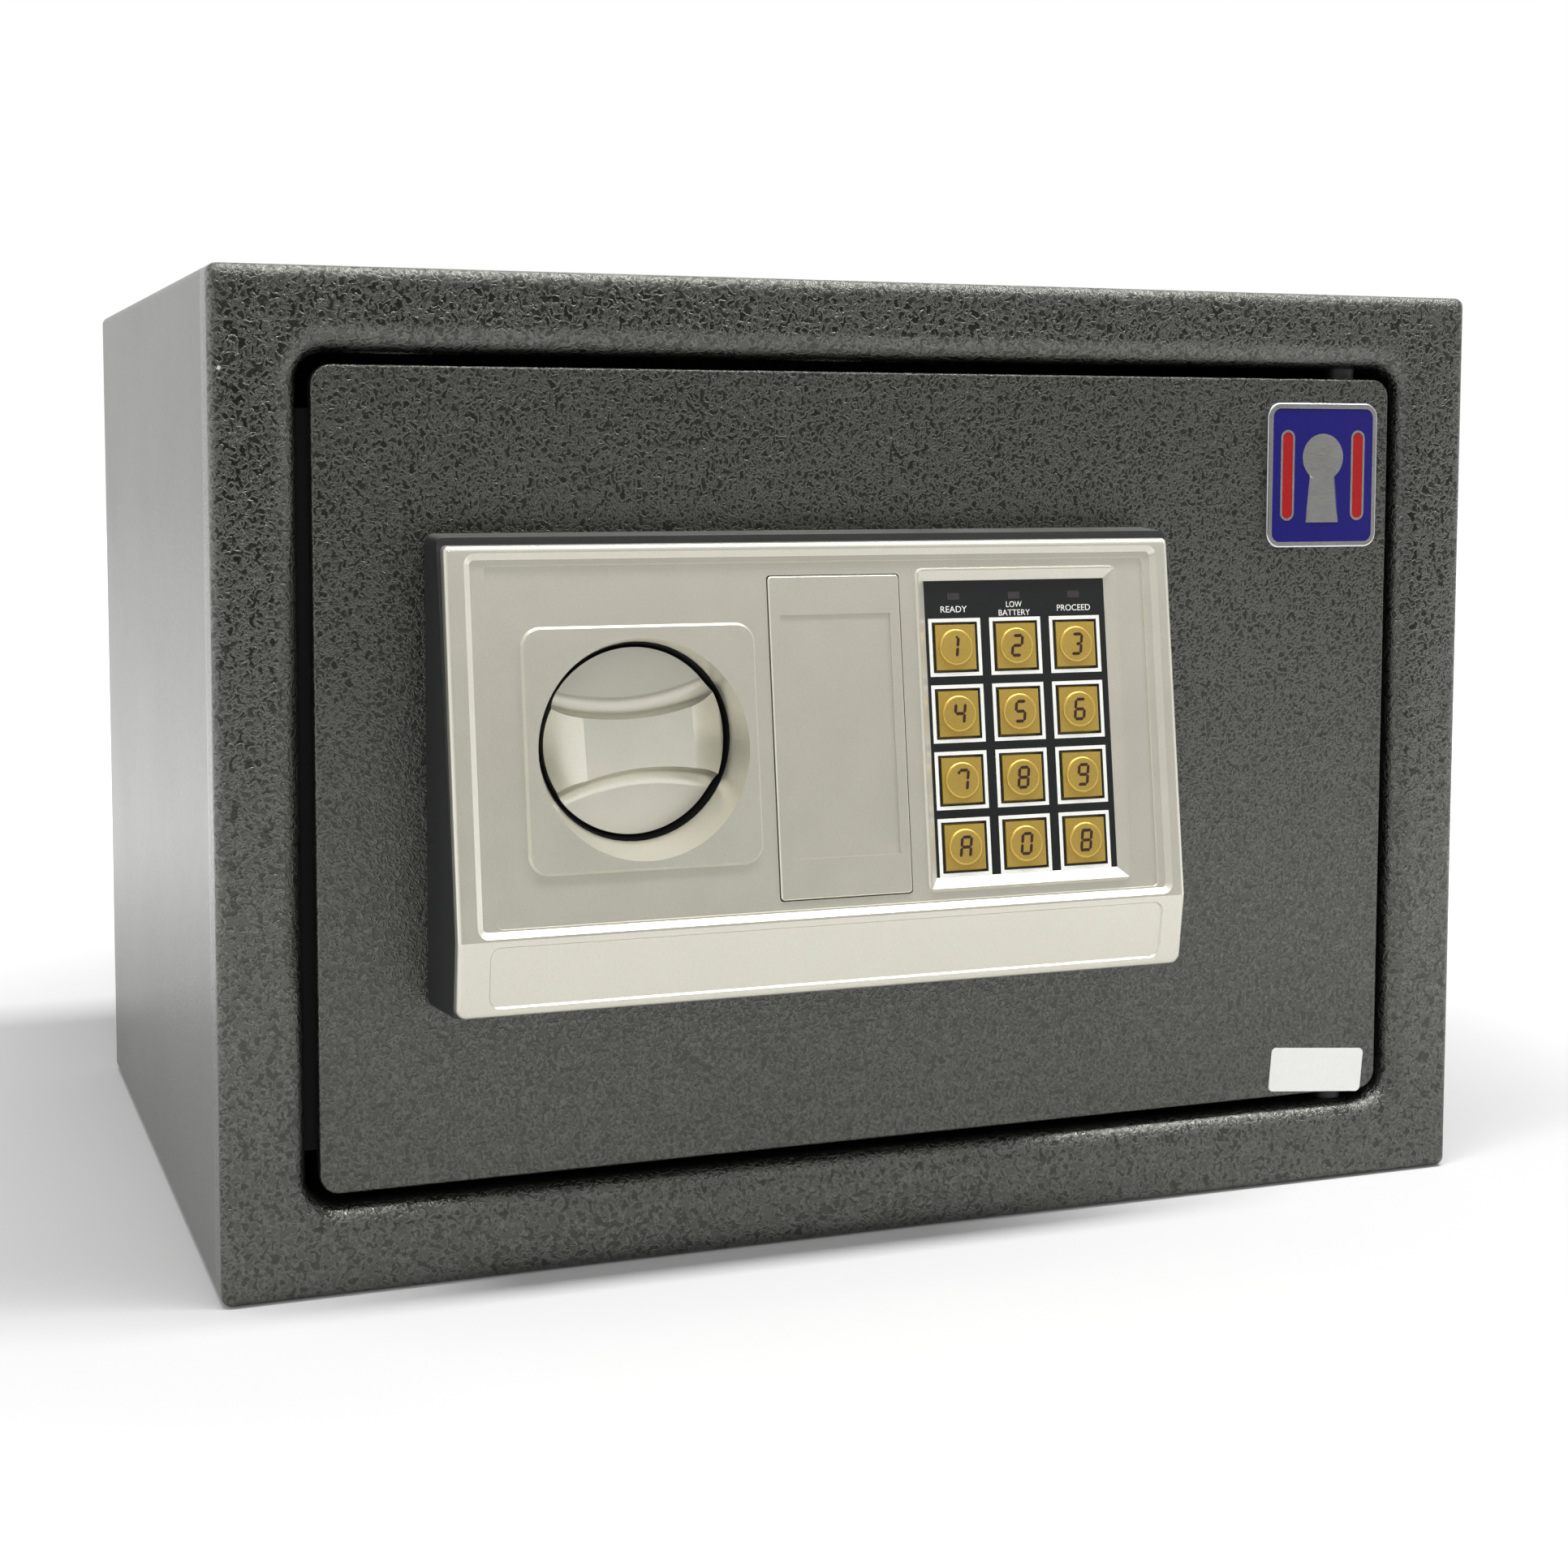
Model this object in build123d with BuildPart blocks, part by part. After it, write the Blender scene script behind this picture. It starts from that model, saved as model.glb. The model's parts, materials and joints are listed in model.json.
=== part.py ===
from build123d import *
import math
import os

# A small home safe with a keypad door. Sizes are in millimetres. +X is to the right of someone facing
# the door, +Y goes into the safe and +Z is up. The body stands on z = 0.

# Steel body
body_width = 350
body_height = 250
body_depth = 250
sheet = 2
body_corner = 2.5
front_round = 2.2
tray_depth = 12

# Door opening, with a lip rolled inward
frame_side = 21
frame_top = 20.2
frame_bottom = 22
opening_corner = 7
lip_depth = 13
lip_thickness = 4.5
lip_round = 6

# Holes for bolting the safe to a wall or a floor
anchor_hole_radius = 5.5
wall_hole_spacing = 160
wall_hole_z = 170
floor_hole_spacing = 160
floor_hole_y = 40
back_inset = 2
panel_fit = 0.05

# Door
door_gap = 3
door_corner = 5
door_thickness = 4
door_recess = 1.5
door_edge_round = 0.8

# Hinge pins, behind the right edge of the door
hinge_edge_distance = 11.5
hinge_depth = 7.5
hinge_pin_radius = 3
hinge_pin_length = 20
running_gap = 0.06
hinge_block_width = 12
hinge_block_depth = 8
hinge_block_height = 11
hinge_washer_radius = 4
hinge_washer_gap = 0.2
hinge_block_inset = 0.5

# Stop strip on the lock side
stop_width = 6
stop_thickness = 2
stop_end_gap = 13.5
stop_gap = 0.3

# Keypad panel, a wedge on the door, seen from the front
panel_left = -122.3
panel_right = 73.4
panel_top_z = 183.6
panel_bend_z = 90
panel_bottom_z = 71.1
panel_top_depth = 12
panel_bend_depth = 24.4
panel_bottom_depth = 21.9
panel_top_corner = 1.3
panel_bottom_corner = 2.6
fascia_thickness = 3.2
fascia_round = 1.5

# Dark housing behind the silver fascia
housing_flare = 1.6
housing_rise = 1
housing_taper = 4
housing_corner = 2.4
housing_wall = 2
housing_floor = 1.5
boss_radius = 4

# Sunk fields of the fascia, in the slope of the panel: u is x, v runs up from the bend
channel_left = -117.5
channel_right = 69.6
channel_bottom = 0.6
channel_top = 92.6
channel_depth = 1.1
channel_slope = 55
channel_corner = 2.8
field_left = -112.4
field_right = 66
field_bottom = 2.6
field_top = 89.7
field_depth = 0.5
field_corner = 1.5
field_slope = 20
chin_field_left = -114.5
chin_field_right = 66.8
chin_field_bottom = 2.2
chin_field_top = 17.6
chin_field_depth = 0.5

# Knob, in a flared well with a level axis
knob_x = -73.8
knob_z = 134.65
knob_radius = 23.3
knob_disc_proud = 7
knob_disc_thickness = 5.5
knob_bar_height = 6.2
knob_bar_half_waist = 6.1
knob_bar_flank_radius = 62
knob_bar_flat = 28
knob_bar_end_height = 0.8
knob_cove = 5
knob_tilt = 4
knob_cap = 1
well_radius = 24.3
well_flare = 0.25
well_skim = 0.001
well_wall = 1.8
well_back_proud = 5
plateau_size = 60
plateau_u = -74.1
plateau_v = 44.7
plateau_height = 0.9
plateau_slope = 35
plateau_corner = 5

# Lift-off cover over the emergency lock
cover_left = -40.3
cover_right = -4.2
cover_bottom = 4.9
cover_top = 86.3
cover_gap = 0.3
cover_thickness = 2.4
cover_proud = 0.5
cover_corner = 1
cover_field_margin_u = 3.2
cover_field_bottom = 15.2
cover_field_top = 76.2
cover_field_depth = 0.4
cover_leg = 3
pocket_depth = 8.7
pocket_wall = 1.4
pocket_root = 0.5

# Keypad
surround_left = 0.2
surround_right = 58.2
surround_bottom = 4.8
surround_top = 87.6
surround_height = 0.6
surround_rim = 0.8
surround_corner = 2.2
window_left = 3
window_right = 54.8
window_bottom = 8.3
window_top = 84.3
keypad_depth = 2.6
keypad_gap = 0.1
keypad_thickness = 0.6
keypad_flange = 1.6
keypad_flange_thickness = 1.6
key_first_u = 11.2
key_first_v = 67.1
key_pitch_u = 17.25
key_pitch_v = 17.1
key_width = 11.2
key_height = 11.6
key_gap = 0.35
key_proud = 0.3
key_dome_radius = 4.7
key_dome_height = 0.6
key_dome_round = 0.55
key_body = 2.6
key_skirt = 1
key_skirt_thickness = 1
key_travel = 0.8
mat_depth = 7.2
mat_thickness = 1
board_thickness = 1.6
lamp_v = 80.2
lamp_width = 3.4
lamp_height = 1.8
lamp_proud = 0.1
lamp_length = 4.2

# Knob shaft, crank and bolt carriage, behind the door plate
shaft_radius = 6
crank_radius = 17
crank_thickness = 3
crank_gap = 0.2
crank_pin_radius = 3
bolt_travel = 18
crank_throw = bolt_travel / (2 * math.sin(math.radians(45)))
slot_gap = 0.6
carriage_thickness = 3
carriage_gap = 0.7
carriage_left = -113
carriage_right = -100
carriage_tab_right = -55
tab_thickness = 3
bolt_radius = 8
bolt_spacing = 90
bolt_chamfer = 1.5
tab_margin = 3
slot_margin = 4
bolt_length = 42
bolt_screw_radius = 3
bolt_screw_head_radius = 5
bolt_screw_head = 3.5
bolt_screw_length = 15
lip_to_bolt = 0.6
guide_thickness = 4
guide_left = -136
guide_height = 121
guide_foot = 18
guide_foot_thickness = 2
guide_margin = 2

# Solenoid under the carriage arm
solenoid_width = 26
solenoid_depth = 13
solenoid_bottom = 54
solenoid_top = 86
plunger_x = -75
plunger_radius = 3
plunger_bottom = 62
plunger_top = 100
plunger_chamfer = 1
plunger_well = 2
plunger_travel = 4
collar_radius = 5
collar_bottom = 95.5
collar_thickness = 1.5
spring_wire = 0.4
spring_radius = 4.2
spring_turns = 5
arm_gap = 0.5
arm_height = 11.5

# Emergency lock
lock_x = -22.25
lock_z = 135.2
lock_radius = 9
lock_proud = 11.5
lock_length = 24
lock_hole_gap = 0.4
lock_nut_width = 26
lock_nut_thickness = 4
plug_radius = 6
plug_proud = 0.5
keyway_width = 7.5
keyway_height = 1.4
keyway_depth = 5
cam_gap = 0.2
cam_thickness = 2
cam_length = 20
cam_width = 10

# Inner cover on the back of the door
pan_left = -143
pan_right = 130
pan_bottom = 32
pan_top = 219
pan_depth = 35.5
pan_sheet = 1.2
pan_corner = 5
post_radius = 4
post_left = -127
post_right = 121
post_low = 41
post_high = 210
screw_radius = 1.5
screw_head_radius = 3
screw_head = 1.8
cover_screw_length = 10

# Screws that hold the panel, put in from behind
panel_screw_left = -112
panel_screw_right = 64
panel_screw_low = 78
panel_screw_high = 176
panel_screw_length = 12

# Main board
main_left = 30
main_right = 110
main_bottom = 130
main_top = 202
main_gap = 7.5
standoff_radius = 2.5
standoff_inset = 5
button_x = 98
button_z = 146
button_radius = 3
button_proud = 1.5
button_travel = 1
button_gap = 0.2
button_round = 0.6
switch_size = 7
switch_height = 6
buzzer_x = 46
buzzer_z = 186
buzzer_radius = 9
buzzer_height = 7
buzzer_hole_radius = 1.5
chip_width = 10
chip_height = 24
chip_thickness = 2
relay_width = 18
relay_height = 12
relay_thickness = 14
relay_offset_x = 22
relay_offset_z = 16
capacitor_radius = 4
capacitor_length = 12
capacitor_offset_x = -22
capacitor_offset_z = -18
capacitor_step_x = 14
capacitor_step_z = -6

# Battery box, filled from the back of the door
cell_radius = 7.1
cell_length = 50
cell_cap_radius = 2.7
cell_cap = 1
cell_pitch = 14.8
cell_rows = 4
battery_x = 61
battery_z = 76
battery_wall = 1.5
battery_play = 1.5
battery_cover_overlap = 3
battery_cover_thickness = 2
battery_cover_gap = 0.1
battery_cover_corner = 3
grip_rib_count = 4
grip_rib_pitch = 4
grip_rib_width = 1.5
grip_rib_height = 0.8

# Lead from the keypad board to the main board
lead_x = 14
lead_z = 150
lead_radius = 1.5
lead_hole_radius = 4
lead_end_x = 38
plug_block = 8
plug_board_gap = 2
lead_bend_radius = 4
lead_board_gap = 1

# Badge and blank label on the door face
badge_x = 129
badge_z = 200.1
badge_width = 35.3
badge_height = 40
badge_corner = 4
badge_thickness = 1.3
badge_rim = 1.6
badge_sink = 0.4
badge_round = 0.5
keyhole_radius = 6.5
keyhole_rise = 5
keyhole_neck = 2.4
keyhole_neck_rise = 2
keyhole_foot = 5.2
keyhole_drop = 13
label_x = 131.3
label_z = 31.8
label_width = 30.2
label_height = 12.4
label_corner = 1.4
label_thickness = 0.2
label_turn = -4.8

# Mat on the safe floor
mat_side_gap = 21
mat_end_gap = 17
mat_corner = 3
felt_thickness = 2

# How far the cutting blocks reach in front of the body, and past a face that they have to break
cut_reach = 60
cut_margin = 1

os.makedirs("parts", exist_ok=True)

# Shared planes and positions
front_y = -body_depth / 2
opening_width = body_width - 2 * frame_side
opening_height = body_height - frame_top - frame_bottom
opening_mid_z = frame_bottom + opening_height / 2
door_face_y = front_y + door_recess
door_back_y = door_face_y + door_thickness
front_plane = Plane.XZ.offset(-front_y)
door_plane = Plane.XZ.offset(-door_face_y)
door_back_plane = Plane.XZ.offset(-door_back_y)
door_width = opening_width - 2 * door_gap
door_height = opening_height - 2 * door_gap
hinge_x = door_width / 2 - hinge_edge_distance
hinge_y = door_face_y + hinge_depth
panel_width = panel_right - panel_left
panel_mid_x = (panel_left + panel_right) / 2
panel_top_y = front_y - panel_top_depth
panel_bend_y = front_y - panel_bend_depth
panel_bottom_y = front_y - panel_bottom_depth
panel_tilt = math.atan2(panel_top_y - panel_bend_y, panel_top_z - panel_bend_z)
chin_tilt = math.atan2(panel_bottom_y - panel_bend_y, panel_bend_z - panel_bottom_z)
skin_y = fascia_thickness / math.cos(panel_tilt)
panel_plane = Plane(
    origin=(0, panel_bend_y, panel_bend_z),
    x_dir=(1, 0, 0),
    z_dir=(0, -math.cos(panel_tilt), math.sin(panel_tilt)),
)
chin_plane = Plane(
    origin=(0, panel_bottom_y, panel_bottom_z),
    x_dir=(1, 0, 0),
    z_dir=(0, -math.cos(chin_tilt), -math.sin(chin_tilt)),
)
far_front_y = front_y - cut_reach
knob_disc_front_y = front_y - knob_disc_proud
well_back_y = front_y - well_back_proud
lock_front_y = front_y - lock_proud
mat_width = body_width - 2 * sheet - 2 * mat_side_gap
mat_length = body_depth - 2 * sheet - 2 * mat_end_gap
stop_height = opening_height - 2 * stop_end_gap

# Front frame: a pressed tray with the opening lip rolled inward
with BuildPart() as front_frame:
    with BuildSketch(front_plane):
        with Locations((0, body_height / 2)):
            RectangleRounded(body_width, body_height, body_corner)
    extrude(amount=-tray_depth)
    fillet(front_frame.faces().sort_by(Axis.Y)[0].edges(), front_round)
    with BuildSketch(front_plane.offset(-sheet)):
        with Locations((0, body_height / 2)):
            RectangleRounded(body_width - 2 * sheet, body_height - 2 * sheet, body_corner - sheet)
    extrude(amount=-tray_depth, mode=Mode.SUBTRACT)
    with BuildSketch(front_plane.offset(-sheet)):
        with Locations((0, opening_mid_z)):
            RectangleRounded(
                opening_width + 2 * lip_thickness,
                opening_height + 2 * lip_thickness,
                opening_corner + lip_thickness,
            )
    extrude(amount=-(lip_depth - sheet))
    with BuildSketch(front_plane):
        with Locations((0, opening_mid_z)):
            RectangleRounded(opening_width, opening_height, opening_corner)
    extrude(amount=-lip_depth, mode=Mode.SUBTRACT)
    lip_edges = front_frame.faces().sort_by(Axis.Y)[0].inner_wires()[0].edges()
    fillet(lip_edges, lip_round)
    with Locations(Plane(origin=(hinge_x, hinge_y, opening_mid_z))):
        Cylinder(hinge_pin_radius + running_gap, opening_height + 4 * lip_thickness, mode=Mode.SUBTRACT)

# Body shell: sides, top and floor in one wrap
with BuildPart() as body_shell:
    with BuildSketch(front_plane.offset(-tray_depth)):
        with Locations((0, body_height / 2)):
            RectangleRounded(body_width, body_height, body_corner)
            RectangleRounded(
                body_width - 2 * sheet,
                body_height - 2 * sheet,
                body_corner - sheet,
                mode=Mode.SUBTRACT,
            )
    extrude(amount=-(body_depth - tray_depth))
    with BuildSketch(Plane.XY):
        with Locations((0, floor_hole_y)):
            with GridLocations(floor_hole_spacing, 0, 2, 1):
                Circle(anchor_hole_radius)
    extrude(amount=sheet, mode=Mode.SUBTRACT)

# Back panel, welded just inside the back edge of the shell
with BuildPart() as back_panel:
    with BuildSketch(Plane.XZ.offset(-(body_depth / 2 - back_inset))):
        with Locations((0, body_height / 2)):
            RectangleRounded(
                body_width - 2 * sheet - 2 * panel_fit,
                body_height - 2 * sheet - 2 * panel_fit,
                body_corner - sheet,
            )
        with Locations((0, wall_hole_z)):
            with GridLocations(wall_hole_spacing, 0, 2, 1):
                Circle(anchor_hole_radius, mode=Mode.SUBTRACT)
    extrude(amount=sheet)

# Stop strip: the lock side of the door closes against it
with BuildPart() as stop_strip:
    with Locations((-opening_width / 2, door_back_y + stop_gap, opening_mid_z)):
        Box(
            stop_width,
            stop_thickness,
            stop_height,
            align=(Align.MIN, Align.MIN, Align.CENTER),
        )

# Felt mat on the floor, with clear holes over the floor bolts
with BuildPart() as floor_mat:
    with BuildSketch(Plane.XY.offset(sheet)):
        with Locations((0, sheet)):
            RectangleRounded(mat_width, mat_length, mat_corner)
        with Locations((0, floor_hole_y)):
            with GridLocations(floor_hole_spacing, 0, 2, 1):
                Circle(2 * anchor_hole_radius, mode=Mode.SUBTRACT)
    extrude(amount=felt_thickness)

# Hinge washers around the two pins, on the lip
washer_height = door_gap - hinge_washer_gap
with BuildPart() as hinge_washers:
    with BuildSketch(Plane.XY.offset(opening_mid_z - opening_height / 2)):
        with Locations((hinge_x, hinge_y)):
            Circle(hinge_washer_radius)
            Circle(hinge_pin_radius + running_gap, mode=Mode.SUBTRACT)
    extrude(amount=washer_height)
    with BuildSketch(Plane.XY.offset(opening_mid_z + opening_height / 2)):
        with Locations((hinge_x, hinge_y)):
            Circle(hinge_washer_radius)
            Circle(hinge_pin_radius + running_gap, mode=Mode.SUBTRACT)
    extrude(amount=-washer_height)

# Door plate
with BuildPart() as door_plate:
    with BuildSketch(door_plane):
        with Locations((0, opening_mid_z)):
            RectangleRounded(door_width, door_height, door_corner)
        with Locations((knob_x, knob_z)):
            Circle(shaft_radius + running_gap, mode=Mode.SUBTRACT)
        with Locations((lock_x, lock_z)):
            Circle(lock_radius, mode=Mode.SUBTRACT)
        with Locations((lead_x, lead_z)):
            Circle(lead_hole_radius, mode=Mode.SUBTRACT)
        with Locations(
            (panel_screw_left, panel_screw_low),
            (panel_screw_left, panel_screw_high),
            (panel_screw_right, panel_screw_low),
            (panel_screw_right, panel_screw_high),
        ):
            Circle(screw_radius, mode=Mode.SUBTRACT)
    extrude(amount=-door_thickness)
    fillet(door_plate.faces().sort_by(Axis.Y)[0].outer_wire().edges(), door_edge_round)

# Hinge blocks behind the door plate, and the pins that stand out of them
door_low_z = opening_mid_z - door_height / 2
door_high_z = opening_mid_z + door_height / 2
with BuildPart() as hinge_blocks:
    for block_z, up in (
        (door_low_z + hinge_block_inset, Align.MIN),
        (door_high_z - hinge_block_inset, Align.MAX),
    ):
        with Locations((hinge_x, door_back_y, block_z)):
            Box(
                hinge_block_width,
                hinge_block_depth,
                hinge_block_height,
                align=(Align.CENTER, Align.MIN, up),
            )
    with Locations((hinge_x, hinge_y, opening_mid_z)):
        Cylinder(hinge_pin_radius, body_height, mode=Mode.SUBTRACT)
with BuildPart() as hinge_pins:
    for pin_z, up in (
        (opening_mid_z - opening_height / 2 - lip_thickness, Align.MIN),
        (opening_mid_z + opening_height / 2 + lip_thickness, Align.MAX),
    ):
        with Locations((hinge_x, hinge_y, pin_z)):
            Cylinder(
                hinge_pin_radius,
                hinge_pin_length,
                align=(Align.CENTER, Align.CENTER, up),
            )

# Dark housing: a tapered box on the door, cut off along the back of the fascia
housing_height = panel_top_z - panel_bottom_z + 2 * housing_flare + housing_rise
housing_mid_z = (panel_top_z + panel_bottom_z + housing_rise) / 2
with BuildPart() as panel_housing:
    with BuildSketch(door_plane):
        with Locations((panel_mid_x, housing_mid_z)):
            RectangleRounded(panel_width + 2 * housing_flare, housing_height, housing_corner)
    extrude(amount=panel_bend_depth, taper=housing_taper)
    with BuildSketch(door_plane.offset(housing_floor)):
        with Locations((panel_mid_x, housing_mid_z)):
            Rectangle(
                panel_width + 2 * housing_flare - 2 * housing_wall,
                housing_height - 2 * housing_wall,
            )
    extrude(amount=panel_bend_depth, taper=housing_taper, mode=Mode.SUBTRACT)
    with BuildSketch(door_plane):
        with Locations(
            (panel_screw_left, panel_screw_low),
            (panel_screw_left, panel_screw_high),
            (panel_screw_right, panel_screw_low),
            (panel_screw_right, panel_screw_high),
        ):
            Circle(boss_radius)
    extrude(amount=panel_bend_depth)
    with BuildSketch(door_plane):
        with Locations(
            (panel_screw_left, panel_screw_low),
            (panel_screw_left, panel_screw_high),
            (panel_screw_right, panel_screw_low),
            (panel_screw_right, panel_screw_high),
        ):
            Circle(screw_radius)
    extrude(amount=panel_screw_length - door_thickness, mode=Mode.SUBTRACT)
    with BuildSketch(door_plane):
        with Locations((knob_x, knob_z)):
            Circle(shaft_radius + housing_wall)
        with Locations((lock_x, lock_z)):
            Circle(lock_radius + lock_hole_gap)
        with Locations((lead_x, lead_z)):
            Circle(lead_hole_radius)
    extrude(amount=housing_floor, mode=Mode.SUBTRACT)
    with BuildSketch(Plane.YZ.offset(2 * panel_left)):
        with BuildLine():
            Polyline(
                (panel_top_y + skin_y, panel_top_z),
                (panel_bend_y + skin_y, panel_bend_z),
                (panel_bottom_y + skin_y, panel_bottom_z),
                (panel_bottom_y + skin_y, 0),
                (far_front_y, 0),
                (far_front_y, body_height),
                (panel_top_y + skin_y, body_height),
                close=True,
            )
        make_face()
    extrude(amount=4 * panel_width, mode=Mode.SUBTRACT)

# Wall of the knob well, cut off inside the skin of the fascia
well_front_radius = well_radius + well_flare * (knob_disc_front_y - panel_bend_y)
well_back_radius = well_radius + well_flare * (knob_disc_front_y - well_back_y)
well_length = well_back_y - panel_bend_y
with BuildPart() as well_tube:
    with Locations((knob_x, well_back_y - well_length / 2, knob_z)):
        Cone(
            well_back_radius + well_wall,
            well_front_radius + well_wall,
            well_length,
            rotation=(90, 0, 0),
        )
    with BuildSketch(Plane.YZ.offset(2 * panel_left)):
        with BuildLine():
            Polyline(
                (panel_top_y + skin_y / 2, panel_top_z),
                (panel_bend_y + skin_y / 2, panel_bend_z),
                (far_front_y, panel_bend_z),
                (far_front_y, panel_top_z),
                close=True,
            )
        make_face()
    extrude(amount=4 * panel_width, mode=Mode.SUBTRACT)

# Silver fascia
with BuildPart() as fascia:
    with BuildSketch(Plane.YZ.offset(panel_left)):
        with BuildLine():
            Polyline(
                (panel_top_y, panel_top_z),
                (panel_bend_y, panel_bend_z),
                (panel_bottom_y, panel_bottom_z),
                (panel_bottom_y + skin_y, panel_bottom_z),
                (panel_bend_y + skin_y, panel_bend_z),
                (panel_top_y + skin_y, panel_top_z),
                close=True,
            )
        make_face()
    extrude(amount=panel_width)
    with BuildSketch(door_plane) as fascia_outline:
        with Locations((panel_mid_x, (panel_top_z + panel_bottom_z) / 2)):
            Rectangle(panel_width, panel_top_z - panel_bottom_z)
        fillet(fascia_outline.vertices().group_by(Axis.Y)[-1], panel_top_corner)
        fillet(fascia_outline.vertices().group_by(Axis.Y)[0], panel_bottom_corner)
    extrude(amount=2 * panel_bend_depth, mode=Mode.INTERSECT)
    front_faces = fascia.faces().filter_by(lambda f: f.normal_at().Y < -0.9)
    rim_edges = front_faces.edges().filter_by(
        lambda e: abs(e.center().Z - panel_bend_z) > 1 or e.length < panel_width / 2
    )
    fillet(rim_edges, fascia_round)

    # channel and main field, sunk one inside the other
    with BuildSketch(panel_plane):
        with Locations(((channel_left + channel_right) / 2, (channel_bottom + channel_top) / 2)):
            RectangleRounded(
                channel_right - channel_left, channel_top - channel_bottom, channel_corner
            )
    extrude(amount=-channel_depth, taper=channel_slope, mode=Mode.SUBTRACT)
    with BuildSketch(panel_plane.offset(-channel_depth)):
        with Locations(((field_left + field_right) / 2, (field_bottom + field_top) / 2)):
            RectangleRounded(field_right - field_left, field_top - field_bottom, field_corner)
    extrude(amount=-field_depth, taper=field_slope, mode=Mode.SUBTRACT)
    field_plane = panel_plane.offset(-channel_depth - field_depth)

    # plateau around the knob
    with BuildSketch(field_plane):
        with Locations((plateau_u, plateau_v)):
            RectangleRounded(plateau_size, plateau_size, plateau_corner)
    extrude(amount=plateau_height, taper=plateau_slope)

    # raised rim around the keypad, bevelled down to the black face
    with BuildSketch(field_plane):
        with Locations(((surround_left + surround_right) / 2, (surround_bottom + surround_top) / 2)):
            RectangleRounded(
                surround_right - surround_left, surround_top - surround_bottom, surround_corner
            )
    extrude(amount=surround_height, taper=plateau_slope)
    surround_plane = field_plane.offset(surround_height)
    bevel_depth = keypad_depth - (channel_depth + field_depth - surround_height)
    with BuildSketch(surround_plane):
        with Locations(((surround_left + surround_right) / 2, (surround_bottom + surround_top) / 2)):
            Rectangle(
                surround_right - surround_left - 2 * surround_rim,
                surround_top - surround_bottom - 2 * surround_rim,
            )
    with BuildSketch(panel_plane.offset(-keypad_depth)):
        with Locations(((window_left + window_right) / 2, (window_bottom + window_top) / 2)):
            Rectangle(window_right - window_left, window_top - window_bottom)
    loft(mode=Mode.SUBTRACT)
    with BuildSketch(panel_plane.offset(-keypad_depth)):
        with Locations(((window_left + window_right) / 2, (window_bottom + window_top) / 2)):
            Rectangle(window_right - window_left, window_top - window_bottom)
    extrude(amount=-fascia_thickness, mode=Mode.SUBTRACT)

    # pocket behind the lift-off cover
    cover_mid_u = (cover_left + cover_right) / 2
    cover_mid_v = (cover_bottom + cover_top) / 2
    cover_hole_width = cover_right - cover_left
    cover_hole_height = cover_top - cover_bottom
    with BuildSketch(panel_plane.offset(-fascia_thickness + pocket_root)):
        with Locations((cover_mid_u, cover_mid_v)):
            Rectangle(cover_hole_width + 2 * pocket_wall, cover_hole_height + 2 * pocket_wall)
    extrude(amount=-(pocket_depth + pocket_wall - fascia_thickness + pocket_root))
    with BuildSketch(panel_plane):
        with Locations((cover_mid_u, cover_mid_v)):
            RectangleRounded(cover_hole_width, cover_hole_height, cover_corner)
    extrude(amount=-pocket_depth, mode=Mode.SUBTRACT)
    with Locations((lock_x, door_face_y, lock_z)):
        Cylinder(
            lock_radius + lock_hole_gap,
            2 * panel_bend_depth,
            rotation=(90, 0, 0),
            mode=Mode.SUBTRACT,
        )

    # knob well
    add(well_tube.part)
    with Locations((knob_x, well_back_y - well_length / 2, knob_z)):
        Cone(
            well_back_radius,
            well_front_radius,
            well_length + well_skim,
            rotation=(90, 0, 0),
            mode=Mode.SUBTRACT,
        )

    # shallow field on the chin
    with BuildSketch(chin_plane):
        with Locations(
            ((chin_field_left + chin_field_right) / 2, (chin_field_bottom + chin_field_top) / 2)
        ):
            RectangleRounded(
                chin_field_right - chin_field_left, chin_field_top - chin_field_bottom, channel_corner
            )
    extrude(amount=-chin_field_depth, taper=plateau_slope, mode=Mode.SUBTRACT)

# Lift-off cover, with two legs that grip the pocket
cover_front = channel_depth + field_depth - cover_proud
with BuildPart() as lock_cover:
    with BuildSketch(panel_plane.offset(-cover_front)):
        with Locations((cover_mid_u, cover_mid_v)):
            RectangleRounded(
                cover_hole_width - 2 * cover_gap, cover_hole_height - 2 * cover_gap, cover_corner
            )
    extrude(amount=-cover_thickness)
    chamfer(lock_cover.faces().sort_by(Axis.Y)[0].edges(), cover_gap)
    with BuildSketch(panel_plane.offset(-cover_front)):
        with Locations((cover_mid_u, (cover_field_bottom + cover_field_top) / 2)):
            Rectangle(
                cover_hole_width - 2 * cover_field_margin_u, cover_field_top - cover_field_bottom
            )
    extrude(amount=-cover_field_depth, mode=Mode.SUBTRACT)
    with BuildSketch(panel_plane.offset(-cover_front - cover_thickness)):
        with Locations((cover_mid_u, cover_mid_v)):
            with GridLocations(0, cover_hole_height - 2 * cover_gap - cover_leg, 1, 2):
                Rectangle(cover_hole_width / 2, cover_leg)
    extrude(amount=-cover_leg)

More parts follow.
